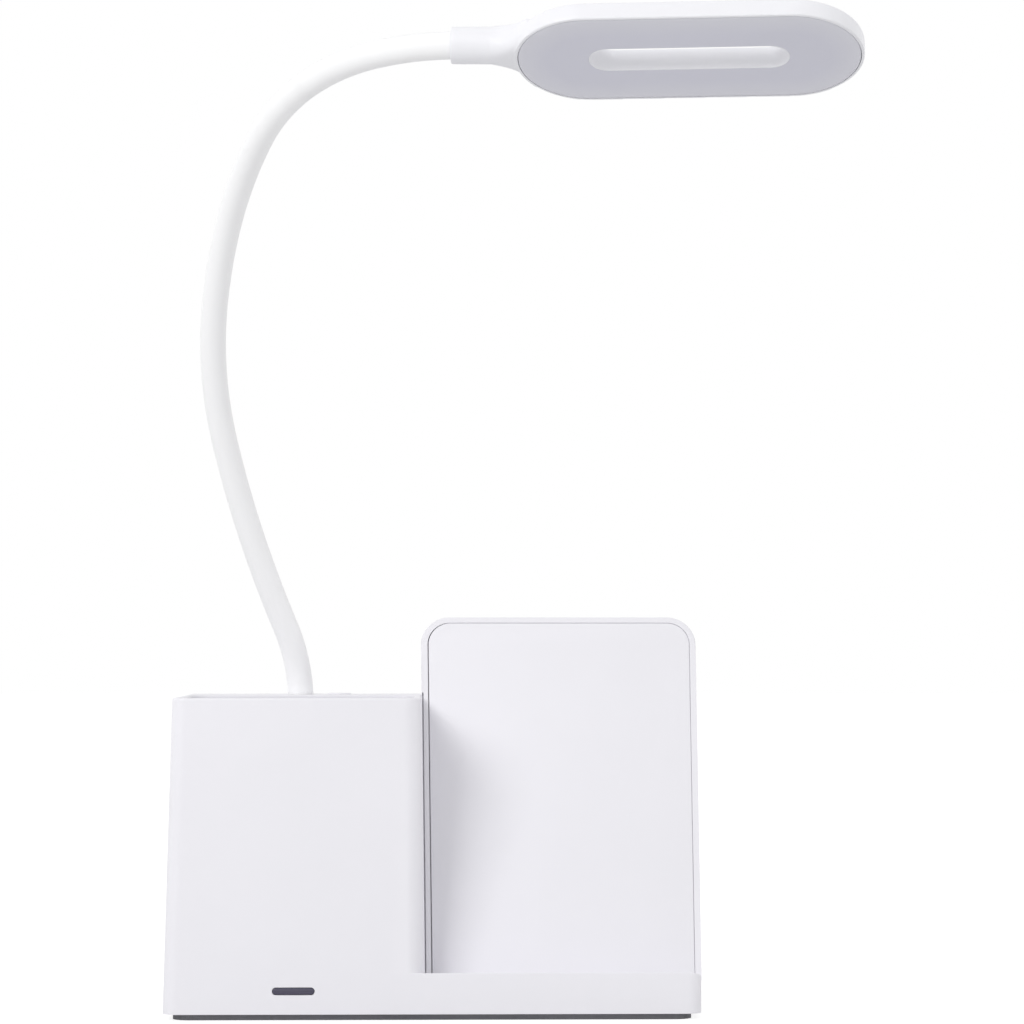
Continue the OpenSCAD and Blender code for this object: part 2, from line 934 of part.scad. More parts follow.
// The curved stretch of link i
module link_arc(i, ro, ri) {
  r = bend_radius(i);
  link_start(i)
    translate([0, 0, start_gap(i)])
      rotate([0, 0, link_side[i - 1]])
        translate([r, 0, 0])
          rotate([90, 0, 180])
            rotate_extrude(angle = link_bend[i - 1])
              translate([r, 0])
                ring(ro, ri);
}

// Stretch of a link's core that stays clear of the ball before it
ball_gap = 0.3;
module neck_sleeve(i) {
  color("white")
    link_arc(i, neck_r, neck_r - sleeve_t);
}
module neck_core(i) {
  color("darkgray") {
    difference() {
      link_arc(i, core_r, core_bore_r);
      if (i > 1)
        link_start(i)
          sphere(ball_r + ball_gap);
    }
    if (i < LINKS)
      link_start(i)
        link_end(i)
          difference() {
            intersection() {
              sphere(ball_r);
              translate([-far / 2, -far / 2, -half_gap])
                cube(far);
            }
            translate([0, 0, -far / 2])
              cylinder(r = core_bore_r + 0.1, h = far);
          }
  }
}
module neck_lead(i) {
  color("firebrick")
    difference() {
      link_arc(i, lead_r, 0);
      if (i > 1)
        link_start(i)
          sphere(ball_r + ball_gap);
    }
}

module base_lead() {
  color("firebrick")
    translate([foot[0], foot[1], board_top])
      cylinder(r = lead_r, h = foot[2] - sleeve_dip - board_top);
}

module neck_ferrule() {
  color("silver")
    translate(foot)
      difference() {
        union() {
          translate([0, 0, -sleeve_dip - ferrule_head])
            cylinder(r = neck_r, h = ferrule_head);
          translate([0, 0, -stem_l])
            cylinder(r = stem_r, h = stem_l - sleeve_dip - 0.5);
        }
        translate([0, 0, -stem_l - 1])
          cylinder(r = core_bore_r, h = far);
      }
}

washer_t = 0.8;
nut_h = 3.5;
nut_r = 6.4;
module neck_washer() {
  color("silver")
    translate([foot[0], foot[1], pot_z - socket_boss_l - washer_t])
      pipe(stem_r + 3, stem_r + fit_gap, washer_t);
}
module neck_nut() {
  color("silver")
    translate([foot[0], foot[1], pot_z - socket_boss_l - washer_t - nut_h])
      difference() {
        cylinder(r = nut_r, h = nut_h, $fn = 6);
        translate([0, 0, -1])
          cylinder(r = stem_r + fit_gap, h = nut_h + 2);
      }
}

// ---- Lamp head: X runs out from the collar's mouth, +Z is the back ----

module head_frame() {
  link_start(LINKS)
    link_end(LINKS)
      translate([0, 0, -collar_cup])
      rotate([0, 0, head_roll])
        rotate([0, -90, 0])
          children();
}

oval_x = head_start + head_l / 2;
module oval_frame() {
  translate([oval_x, 0, -collar_up])
    rotate([0, -head_tilt, 0])
      children();
}
module around_x(x, r, l) {
  translate([x, 0, 0])
    rotate([0, 90, 0])
      cylinder(r = r, h = l);
}

// Oval block whose back edge is rounded: a straight middle between two half turns of one profile
module oval_slab() {
  straight_l = head_l - head_w;
  low = -head_t / 2;
  high = head_t / 2;
  side = head_w / 2;
  half = rounded([[0, low], [side, low], [side, high], [0, high]], [0, 0, head_round, 0]);
  full = rounded([[-side, low], [side, low], [side, high], [-side, high]], [0, 0, head_round, head_round]);
  for (s = [-1, 1])
    translate([s * straight_l / 2, 0, 0])
      rotate([0, 0, -90 * s])
        rotate_extrude(angle = 180)
          polygon(half);
  translate([-straight_l / 2, 0, 0])
    rotate([90, 0, 90])
      linear_extrude(straight_l)
        polygon(full);
}

// Flare from a small shoulder on the round collar into the oval, as rings of a loft
shoulder = 0.2;
bury = 0.15;
end_r = head_w / 2;
join_x = collar_l + flare_l;
join_w = sqrt(pow(end_r, 2) - pow(end_r - (join_x - head_start), 2));
flare_rings = 14;
flare_sides = 32;
function ease(t) = t * t * (3 - 2 * t);
function oval_mid(x) = -collar_up - (oval_x - x) * tan(head_tilt);
function squared(v, e) = sign(v) * pow(abs(v), e);
function flare_ring(k) =
  let (
    x = collar_l + hump_l * k / flare_rings,
    r = collar_r + shoulder,
    t = min(1, (x - collar_l) / flare_l),
    w = r + (join_w - r) * pow(t, 2.6),
    flat = head_t / 2 - bury,
    up = r + (flat + oval_mid(x) - r) * ease(k / flare_rings),
    low = r + (flat - oval_mid(x) - r) * ease(t),
    e = 1 / (1 + 1.5 * t)
  )
  [
    for (j = [0:flare_sides - 1])
      let (a = 360 * (j + 0.5) / flare_sides)
      [x, w * squared(cos(a), e), (sin(a) > 0 ? up : low) * squared(sin(a), e)]
  ];
module flare() {
  points = [for (k = [0:flare_rings]) each flare_ring(k)];
  last = flare_rings * flare_sides;
  sides = [
    for (k = [0:flare_rings - 1], j = [0:flare_sides - 1])
      let (a = k * flare_sides + j, b = k * flare_sides + (j + 1) % flare_sides)
      each [[a, a + flare_sides, b], [b, a + flare_sides, b + flare_sides]]
  ];
  ends = [
    [for (j = [0:flare_sides - 1]) j],
    [for (j = [flare_sides - 1:-1:0]) last + j]
  ];
  polyhedron(points, concat(sides, ends));
}

// Ring between the outline and the slot, set in from both
module oval_ring(outer_in, inner_out) {
  difference() {
    oval(head_l - 2 * outer_in, head_w - 2 * outer_in);
    oval(slot_l + 2 * inner_out, slot_w + 2 * inner_out);
  }
}

back_t = 1.4;
led_board_t = 1;
chip_t = 0.7;
film_t = 0.25;
ring_gap = 0.1;
ring_in = 2.5;
rib_h = 0.8;
rib_t = 0.8;
rib_out = head_wall + ring_gap;
face_z = -head_t / 2;
led_z = head_t / 2 - back_t - led_board_t;
groove_x = collar_l - 3.4;
groove_w = 2.2;
groove_r = spigot_r - 0.5;
grub_r = 0.95;
spigot_l = collar_l - collar_cup;

module head_housing() {
  color("white")
    head_frame()
      difference() {
        union() {
          around_x(0, collar_r, collar_l + 0.1);
          flare();
          oval_frame()
            oval_slab();
        }
        oval_frame()
          translate([0, 0, face_z - 1]) {
            linear_extrude(diffuser_t + 1 + ring_gap / 2)
              oval(head_l - 2 * rim_w, head_w - 2 * rim_w);
            linear_extrude(head_t - back_t + 1)
              oval_ring(head_wall, head_wall);
            linear_extrude(head_t + 2)
              oval(slot_l, slot_w);
          }
        around_x(-1, neck_r + sleeve_gap, collar_cup + 1);
        around_x(-1, spigot_r + spigot_gap, collar_l + 1.3);
        around_x(-1, core_bore_r, head_start + head_wall + 1.3);
        translate([groove_x + groove_w / 2, 0, 0])
          cylinder(r = grub_r + fit_gap, h = collar_r + 1);
      }
}

module head_spigot() {
  color("silver")
    head_frame()
      difference() {
        around_x(collar_cup, spigot_r, spigot_l);
        around_x(0, core_bore_r, collar_l + 1);
        difference() {
          around_x(groove_x, spigot_r + 1, groove_w);
          around_x(groove_x - 1, groove_r, groove_w + 2);
        }
      }
}

module collar_screw() {
  color("silver")
    head_frame()
      translate([groove_x + groove_w / 2, 0, groove_r + 0.1])
        cylinder(r = grub_r, h = collar_r - groove_r - 0.4);
}

module diffuser() {
  color("lavender")
    head_frame()
      oval_frame() {
        translate([0, 0, face_z])
          linear_extrude(diffuser_t)
            oval_ring(rim_w + ring_gap, 0);
        translate([0, 0, face_z + diffuser_t - eps])
          linear_extrude(rib_h)
            difference() {
              oval_ring(rib_out, rib_out);
              oval_ring(rib_out + rib_t, rib_out + rib_t);
            }
      }
}

module led_board() {
  color("whitesmoke")
    head_frame()
      oval_frame()
        translate([0, 0, led_z])
          linear_extrude(led_board_t)
            oval_ring(head_wall + ring_in, head_wall + 1);
}

// Places chip k along the middle of the ring
ring_w = (head_w - slot_w) / 2;
path_r = slot_w / 2 + ring_w / 2;
path_half = (head_l - head_w) / 2;
path_l = 4 * path_half + 2 * PI * path_r;
module on_path(k) {
  s = path_l * (k + 0.5) / chip_count;
  straight = 2 * path_half;
  turn = PI * path_r;
  if (s < straight)
    translate([-path_half + s, path_r, 0])
      children();
  else if (s < straight + turn)
    let (a = 180 * (s - straight) / turn)
    translate([path_half, 0, 0])
      rotate([0, 0, -a])
        translate([0, path_r, 0])
          children();
  else if (s < 2 * straight + turn)
    translate([path_half - (s - straight - turn), -path_r, 0])
      children();
  else
    let (a = 180 * (s - 2 * straight - turn) / turn)
    translate([-path_half, 0, 0])
      rotate([0, 0, 180 - a])
        translate([0, path_r, 0])
          children();
}

chip_l = 3.5;
chip_w = 2.8;
module led_chips() {
  color("lightyellow")
    head_frame()
      oval_frame()
        translate([0, 0, led_z - chip_t])
          for (k = [0:chip_count - 1])
            on_path(k)
              linear_extrude(chip_t)
                square([chip_l, chip_w], center = true);
}

module reflector_film() {
  color("white")
    head_frame()
      oval_frame()
        difference() {
          translate([0, 0, led_z - film_t])
            linear_extrude(film_t)
              oval_ring(head_wall + ring_in, head_wall + 1);
          translate([0, 0, led_z - film_t - 1])
            for (k = [0:chip_count - 1])
              on_path(k)
                linear_extrude(film_t + 2)
                  square([chip_l + 0.3, chip_w + 0.3], center = true);
        }
}

module head_lead() {
  color("firebrick")
    head_frame()
      around_x(collar_cup + ring_gap, lead_r - 0.2, head_start + head_wall - collar_cup - ring_gap);
}

main_shell();
charging_plate();
bottom_cover();
base_pad();
cover_screws();
ballast_plate();
ballast_screws();
main_board();
board_parts();
board_screws();
usb_socket();
usb_tongue();
indicator_lens();
indicator_led();
coil_winding();
ferrite_sheet();
coil_carrier();
carrier_screws();
charge_board();
charge_parts();
power_button();
switch_plunger();
tact_switch();
switch_board();
switch_screws();
neck_ferrule();
neck_washer();
neck_nut();
base_lead();
for (i = [1:LINKS]) neck_sleeve(i);
for (i = [1:LINKS]) neck_core(i);
for (i = [1:LINKS]) neck_lead(i);
head_spigot();
collar_screw();
head_housing();
diffuser();
led_board();
led_chips();
reflector_film();
head_lead();
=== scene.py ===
"""Looks of a white desk lamp with a pen pot and a leaning phone rest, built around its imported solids."""

import json
import logging
import math
from dataclasses import dataclass, field
from enum import Enum
from typing import Callable

import bmesh
import bpy
from mathutils import Matrix, Vector


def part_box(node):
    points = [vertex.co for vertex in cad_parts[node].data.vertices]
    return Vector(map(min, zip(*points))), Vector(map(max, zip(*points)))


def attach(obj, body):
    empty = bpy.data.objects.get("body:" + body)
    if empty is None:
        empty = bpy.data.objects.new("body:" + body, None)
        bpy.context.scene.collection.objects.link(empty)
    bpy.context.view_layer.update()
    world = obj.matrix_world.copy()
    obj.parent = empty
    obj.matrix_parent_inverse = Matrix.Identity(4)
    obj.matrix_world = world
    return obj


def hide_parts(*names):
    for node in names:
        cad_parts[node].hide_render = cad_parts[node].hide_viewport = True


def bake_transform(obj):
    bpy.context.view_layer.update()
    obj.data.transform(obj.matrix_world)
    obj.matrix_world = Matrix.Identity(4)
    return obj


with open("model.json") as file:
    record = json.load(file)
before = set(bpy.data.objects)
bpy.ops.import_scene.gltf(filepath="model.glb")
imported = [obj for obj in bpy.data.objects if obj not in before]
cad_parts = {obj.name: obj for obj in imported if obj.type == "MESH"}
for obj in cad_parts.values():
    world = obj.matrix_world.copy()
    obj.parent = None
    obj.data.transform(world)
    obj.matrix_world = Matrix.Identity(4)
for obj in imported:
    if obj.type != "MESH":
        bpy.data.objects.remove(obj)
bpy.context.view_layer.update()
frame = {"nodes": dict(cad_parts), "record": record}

MM = 0.001
# Points this close in a selection lie on the same edge, or on the same face
HAIR, NEAR = 0.01 * MM, 0.1 * MM
# Points this close are one point
MERGE = 1e-7
# Faces that meet at more than this, in degrees, have a sharp edge between them
SHARP = 60
log = logging.getLogger("desk_lamp")

Pair = tuple[float, float]
Triple = tuple[float, float, float]
MODES = {"verts": "VERT", "edges": "EDGE", "faces": "FACE"}
# What the tests of points, edges and faces take
MEASURES: dict[str, Callable] = {
    "verts": lambda vert: (vert.co,),
    "edges": lambda edge: (edge.verts[0].co, edge.verts[1].co, math.degrees(edge.calc_face_angle(0.0))),
    "faces": lambda face: (face.calc_center_median(), face.normal),
}


# ---- Shader nodes ----


def srgb(red: float, green: float, blue: float) -> tuple[float, float, float, float]:
    """Linear colour of an sRGB colour.

    Args:
        red: Red, 0 to 255.
        green: Green, 0 to 255.
        blue: Blue, 0 to 255.

    Returns:
        The colour as shader sockets take it.
    """
    parts = (part / 255 for part in (red, green, blue))
    linear = [part / 12.92 if part <= 0.04045 else ((part + 0.055) / 1.055) ** 2.4 for part in parts]
    return (*linear, 1.0)


def wire(tree: bpy.types.NodeTree, kind: str, inputs: dict) -> bpy.types.Node:
    """Sets the inputs of the node of that name, or of a new node of that type.

    Args:
        tree: The nodes of a material or of the world.
        kind: Name of a node that is there, or type of a new one.
        inputs: The constant, or the output that feeds it, for each input by name or number.

    Returns:
        The node.
    """
    node = tree.nodes.get(kind) or tree.nodes.new(kind)
    for key, value in inputs.items():
        if isinstance(value, bpy.types.NodeSocket):
            tree.links.new(value, node.inputs[key])
        else:
            node.inputs[key].default_value = value
    return node


# ---- Finishes ----


@dataclass(frozen=True)
class Finish:
    """A surface: a colour that drifts a little, a roughness that varies and a fine grain in the bump."""

    name: str
    colour: Triple
    roughness: float
    drift: float = 0.03
    drift_size: float = 30.0
    rough_spread: float = 0.05
    grain_size: float = 2500.0
    grain_depth: float = 0.00001
    grain_strength: float = 0.15
    metallic: float = 0.0
    coat: float = 0.0
    coat_roughness: float = 0.1
    specular: float = 0.5
    sheen: float = 0.0
    # Painted light: a lighter colour mixed in along a sheet's outline, where a finish has one.
    painted_rim_light: Triple | None = None
    ramp: Pair = (0.3, 0.7)
    smoothest: float = 0.02
    broad_detail: float = 3.0
    fine_detail: float = 4.0

    def material(self) -> bpy.types.Material:
        """Node material of this finish, made once.

        Returns:
            The material.
        """
        if self.name in bpy.data.materials:
            return bpy.data.materials[self.name]
        made = bpy.data.materials.new(self.name)
        made.use_nodes = True
        tree = made.node_tree
        place = tree.nodes.new("ShaderNodeTexCoord").outputs["Object"]
        noises = []
        for scale, detail in ((self.drift_size, self.broad_detail), (self.grain_size, self.fine_detail)):
            spread = {"Vector": place, "Scale": scale, "Detail": detail}
            noises.append(wire(tree, "ShaderNodeTexNoise", spread).outputs["Fac"])
        broad, fine = noises
        gloss = {
            "Value": broad,
            "To Min": max(self.roughness - self.rough_spread, self.smoothest),
            "To Max": min(self.roughness + self.rough_spread, 1.0),
        }
        grain = {"Height": fine, "Distance": self.grain_depth, "Strength": self.grain_strength}
        surface = {
            "Metallic": self.metallic,
            "Coat Weight": self.coat,
            "Coat Roughness": self.coat_roughness,
            "Specular IOR Level": self.specular,
            "Sheen Weight": self.sheen,
            "Base Color": self.shade(tree, broad),
            "Roughness": wire(tree, "ShaderNodeMapRange", gloss).outputs["Result"],
            "Normal": wire(tree, "ShaderNodeBump", grain).outputs["Normal"],
        }
        wire(tree, "Principled BSDF", surface)
        return made

    def shade(self, tree: bpy.types.NodeTree, drift: bpy.types.NodeSocket) -> bpy.types.NodeSocket:
        """The colour that drifts, and where the finish has painted rim light, a lighter painted colour along
        the outline.

        Args:
            tree: The material's nodes.
            drift: The noise that it drifts with.

        Returns:
            The opal sheet inside the housing's rim, with the slot through it and rings that carry its painted
            glow along the outline.
        """
        shades = wire(tree, "ShaderNodeValToRGB", {"Fac": drift})
        base = srgb(*self.colour)
        factors = (1 - self.drift, 1 + self.drift)
        for stop, place, factor in zip(shades.color_ramp.elements, self.ramp, factors):
            stop.color = (*(min(part * factor, 1.0) for part in base[:3]), 1.0)
            stop.position = place
        if not self.painted_rim_light:
            return shades.outputs["Color"]
        # Painted light: mixes the colour towards the lighter painted rim light near the outline, by the
        # sheet's rim_depth.
        depth = tree.nodes.new("ShaderNodeAttribute")
        depth.attribute_name = "rim_depth"
        mix = tree.nodes.new("ShaderNodeMix")
        mix.data_type = "RGBA"
        factor, outer, middle = (socket for socket in mix.inputs if socket.enabled)
        outer.default_value = srgb(*self.painted_rim_light)
        tree.links.new(depth.outputs["Fac"], factor)
        tree.links.new(shades.outputs["Color"], middle)
        # Writes each point's depth inside the oval's outline, in reaches of the painted glow, as the
        # attribute that mixes in the painted rim light.
        return next(socket for socket in mix.outputs if socket.enabled)


class Look(Enum):
    """Every finish on the lamp."""

    SHELL = Finish("shell_abs", (239, 238, 243), 0.36, drift=0.008, specular=0.3)
    PLATE = Finish("plate_abs", (239, 238, 243), 0.42, drift=0.008, specular=0.4)
    HEAD = Finish("head_abs", (242, 242, 246), 0.40, drift=0.008, specular=0.25)
    SKIN = Finish(
        "silicone_skin", (251, 251, 252), 0.50, drift=0.010, sheen=0.12, grain_strength=0.3, specular=0.3
    )
    # Painted light: the opal face is painted lighter along its outline, a painted glow at its edge.
    OPAL = Finish(
        "opal_sheet", (215, 215, 226), 0.46, drift=0.012, drift_size=18.0, painted_rim_light=(224, 224, 231)
    )
    SMOKE = Finish("smoke_grey", (72, 69, 88), 0.16, drift=0.05, coat=0.3)
    RUBBER = Finish("pad_rubber", (134, 134, 139), 0.85, drift=0.12, grain_depth=0.00008, grain_strength=0.6)
    STEEL = Finish("zinc_steel", (176, 178, 182), 0.32, metallic=1.0, drift=0.05)
    NICKEL = Finish("satin_nickel", (190, 188, 182), 0.28, metallic=1.0, drift=0.04)
    BALLAST = Finish("black_steel", (62, 62, 64), 0.6, metallic=0.8, drift=0.15)
    BOARD = Finish("green_board", (22, 92, 52), 0.45, drift=0.12, drift_size=400.0)
    BLACK = Finish("black_moulding", (24, 24, 26), 0.5, drift=0.1)
    COPPER = Finish("enamelled_copper", (196, 112, 66), 0.35, metallic=1.0, drift=0.08, drift_size=600.0)
    FERRITE = Finish("ferrite_black", (52, 50, 50), 0.7, drift=0.1)
    CARRIER = Finish("grey_carrier", (150, 152, 156), 0.5, drift=0.04)
    LED = Finish("clear_led", (236, 238, 244), 0.2, coat=0.4)
    PHOSPHOR = Finish("phosphor", (236, 214, 96), 0.45, drift=0.05)
    LEAD = Finish("lead_jacket", (96, 98, 102), 0.55, drift=0.05)
    FILM = Finish("white_film", (244, 244, 244), 0.3, drift=0.01)


SLOT_LOOKS = {
    "white_abs": Look.SHELL,
    "silicone_white": Look.SKIN,
    "opal_diffuser": Look.OPAL,
    "smoked_lens": Look.SMOKE,
    "rubber_dark": Look.RUBBER,
    "screw_steel": Look.STEEL,
    "ballast_steel": Look.BALLAST,
    "circuit_board": Look.BOARD,
    "chip_black": Look.BLACK,
    "socket_steel": Look.STEEL,
    "plastic_black": Look.BLACK,
    "led_white": Look.LED,
    "coil_copper": Look.COPPER,
    "ferrite": Look.FERRITE,
    "carrier_grey": Look.CARRIER,
    "nickel": Look.NICKEL,
    "core_steel": Look.STEEL,
    "lead_grey": Look.LEAD,
    "led_board_white": Look.FILM,
    "led_yellow": Look.PHOSPHOR,
    "film_white": Look.FILM,
}


# ---- A mesh under the hands ----


class Piece:
    """One mesh, open for editing, that is selected by place and shaped by edit-mode operators."""

    def __init__(self, name: str) -> None:
        """Takes the active object, just added, and opens it for editing.

        Args:
            name: Name of the object and its mesh.
        """
        self.shape = bpy.context.object
        self.shape.name = name
        self.shape.data.name = name
        self.open()

    @staticmethod
    def close() -> None:
        """Goes back to object mode."""
        if bpy.context.mode != "OBJECT":
            bpy.ops.object.mode_set(mode="OBJECT")

    @classmethod
    def clear(cls) -> None:
        """Leaves edit mode and selects nothing."""
        cls.close()
        bpy.ops.object.select_all(action="DESELECT")

    @classmethod
    def block(cls, name: str, low: Triple, high: Triple) -> "Piece":
        """A block between two corners.

        Args:
            name: Name of the piece.
            low: Lowest corner.
            high: Highest corner.

        Returns:
            The piece.
        """
        cls.clear()
        middle = [(a + b) / 2 for a, b in zip(low, high)]
        bpy.ops.mesh.primitive_cube_add(size=1, location=middle)
        piece = cls(name)
        piece.all()
        piece.grow([b - a for a, b in zip(low, high)], middle)
        piece.settle()
        return piece

    @classmethod
    def outline(cls, name: str, corners: list[Pair], lift: float = 0.0) -> "Piece":
        """A flat face, drawn as X and Y corners.

        Args:
            name: Name of the piece.
            corners: The corners, anticlockwise.
            lift: Height of the face.

        Returns:
            The piece.
        """
        cls.clear()
        bpy.ops.mesh.primitive_circle_add(vertices=len(corners), radius=1, fill_type="NGON")
        piece = cls(name)
        sheet = bmesh.from_edit_mesh(piece.shape.data)
        for point, corner in zip(sheet.verts, corners):
            point.co = (*corner, lift)
        bmesh.update_edit_mesh(piece.shape.data)
        return piece

    @classmethod
    def loft(cls, name: str, rings: list[list[Vector]]) -> "Piece":
        """A closed skin through rings of equally many points.

        Args:
            name: Name of the piece.
            rings: The rings, from one end to the other.

        Returns:
            The piece.
        """
        piece = cls.outline(name, [(point.x, point.y) for point in rings[0]])
        sheet = bmesh.from_edit_mesh(piece.shape.data)
        for vert, point in zip(sheet.verts, rings[0]):
            vert.co = point
        bmesh.update_edit_mesh(piece.shape.data)
        piece.all()
        for last, ring in zip(rings, rings[1:]):
            piece.extrude((0, 0, 0))
            sheet = bmesh.from_edit_mesh(piece.shape.data)
            for vert in [vert for vert in sheet.verts if vert.select]:
                nearest = min(range(len(last)), key=lambda k: (last[k] - vert.co).length_squared)
                vert.co = ring[nearest]
            bmesh.update_edit_mesh(piece.shape.data)
        piece.all()
        bpy.ops.mesh.normals_make_consistent(inside=False)
        return piece

    @classmethod
    def drum(cls, name: str, radius: float, low: float, high: float, sides: int = 48) -> "Piece":
        """An upright round block on the Z axis.

        Args:
            name: Name of the piece.
            radius: Its radius.
            low: Height of its lower end.
            high: Height of its upper end.
            sides: Number of its sides.

        Returns:
            The piece.
        """
        cls.clear()
        middle = (0, 0, (low + high) / 2)
        bpy.ops.mesh.primitive_cylinder_add(vertices=sides, radius=radius, depth=high - low, location=middle)
        piece = cls(name)
        piece.settle()
        return piece

    def pick(self) -> None:
        """Makes this the selected and active object."""
        self.clear()
        self.shape.select_set(True)
        bpy.context.view_layer.objects.active = self.shape

    def open(self) -> None:
        """Goes to edit mode on this piece alone."""
        self.pick()
        bpy.ops.object.mode_set(mode="EDIT")

    def settle(self) -> None:
        """Puts the object's place into its mesh and opens it again."""
        self.close()
        bpy.ops.object.transform_apply(location=True, rotation=True, scale=True)
        self.open()

    def all(self) -> "Piece":
        """Selects the whole mesh.

        Returns:
            This piece.
        """
        bpy.ops.mesh.select_mode(type="VERT")
        bpy.ops.mesh.select_all(action="SELECT")
        return self

    def sift(self, kind: str, test: Callable[..., bool]) -> "Piece":
        """Selects what passes a test, and nothing else.

        Args:
            kind: verts, edges or faces.
            test: Takes the measures of that kind.

        Returns:
            This piece.
        """
        bpy.ops.mesh.select_mode(type=MODES[kind])
        bpy.ops.mesh.select_all(action="DESELECT")
        sheet = bmesh.from_edit_mesh(self.shape.data)
        for element in getattr(sheet, kind):
            element.select_set(test(*MEASURES[kind](element)))
        if kind == "verts":
            sheet.select_flush_mode()
        bmesh.update_edit_mesh(self.shape.data)
        return self

    def points(self, test: Callable[[Vector], bool]) -> "Piece":
        """Selects the points that pass a test of their place."""
        return self.sift("verts", test)

    def edges(self, test: Callable[[Vector, Vector, float], bool]) -> "Piece":
        """Selects the edges that pass a test of both ends and the angle between their faces, in degrees."""
        return self.sift("edges", test)

    def faces(self, test: Callable[[Vector, Vector], bool]) -> "Piece":
        """Selects the faces that pass a test of their centre and normal."""
        return self.sift("faces", test)

    def slide(self, move: Triple) -> "Piece":
        """Moves what is selected."""
        bpy.ops.transform.translate(value=move)
        return self

    def grow(self, factors: list[float] | Triple, centre: list[float] | Triple) -> "Piece":
        """Scales what is selected about a point."""
        bpy.ops.transform.resize(value=tuple(factors), center_override=tuple(centre))
        return self

    def extrude(self, move: Triple) -> "Piece":
        """Extrudes the selected faces by a move."""
        bpy.ops.mesh.extrude_region_move(TRANSFORM_OT_translate={"value": move})
        return self

    def inset(self, width: float) -> "Piece":
        """Insets the selected faces."""
        bpy.ops.mesh.inset(thickness=width, depth=0.0, use_even_offset=True)
        return self

    def bevel(self, width: float, steps: int) -> "Piece":
        """Rounds the selected edges."""
        bpy.ops.mesh.bevel(offset=width, segments=steps, affect="EDGES", clamp_overlap=False)
        return self

    def trim(self, point: Triple, normal: Triple) -> None:
        """Cuts the whole mesh with a plane, removes the side that its normal points to and closes the cut."""
        self.all()
        bpy.ops.mesh.bisect(plane_co=point, plane_no=normal, use_fill=True, clear_outer=True, threshold=MERGE)

    def place(self, matrix: Matrix) -> "Piece":
        """Moves the whole mesh.

        Args:
            matrix: The move.

        Returns:
            This piece.
        """
        self.close()
        self.shape.data.transform(matrix)
        self.open()
        return self

    def outward(self) -> "Piece":
        """Merges doubles and turns every face outwards.

        Returns:
            This piece.
        """
        self.all()
        bpy.ops.mesh.remove_doubles(threshold=MERGE)
        bpy.ops.mesh.normals_make_consistent(inside=False)
        return self

    def modifier(self, kind: str, **settings: object) -> None:
        """Adds a modifier and applies it.

        Args:
            kind: Its type.
            **settings: Its settings.
        """
        self.close()
        step = self.shape.modifiers.new(kind.lower(), kind)
        for key, value in settings.items():
            setattr(step, key, value)
        self.pick()
        bpy.ops.object.modifier_apply(modifier=step.name)
        self.open()

    def combine(self, operation: str, *tools: "Piece") -> "Piece":
        """Joins or cuts this piece with tools, one after another, which are used up.

        Args:
            operation: UNION or DIFFERENCE.
            *tools: The other pieces.

        Returns:
            This piece.
        """
        for tool in tools:
            tool.close()
            self.modifier("BOOLEAN", object=tool.shape, operation=operation, solver="EXACT")
            self.close()
            bpy.data.objects.remove(tool.shape, do_unlink=True)
            self.open()
        return self

    def finish(self, look: Look, body: str, slot: str, nodes: tuple[str, ...], angle: float = 30.0) -> None:
        """Smooths, dresses and mounts the piece on its body.

        Args:
            look: Its finish.
            body: The body it moves with, or nothing, and then it is mounted on none.
            slot: The record's material slot; not used.
            nodes: The solids that it stands for.
            angle: Largest angle between faces that shade as one.
        """
        self.pick()
        bpy.ops.object.shade_smooth_by_angle(angle=math.radians(angle))
        self.shape.data.materials.clear()
        self.shape.data.materials.append(look.value.material())
        if body:
            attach(self.shape, body)
        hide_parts(*nodes)
        log.info("%s: %d faces", self.shape.name, len(self.shape.data.polygons))


# ---- Base ----


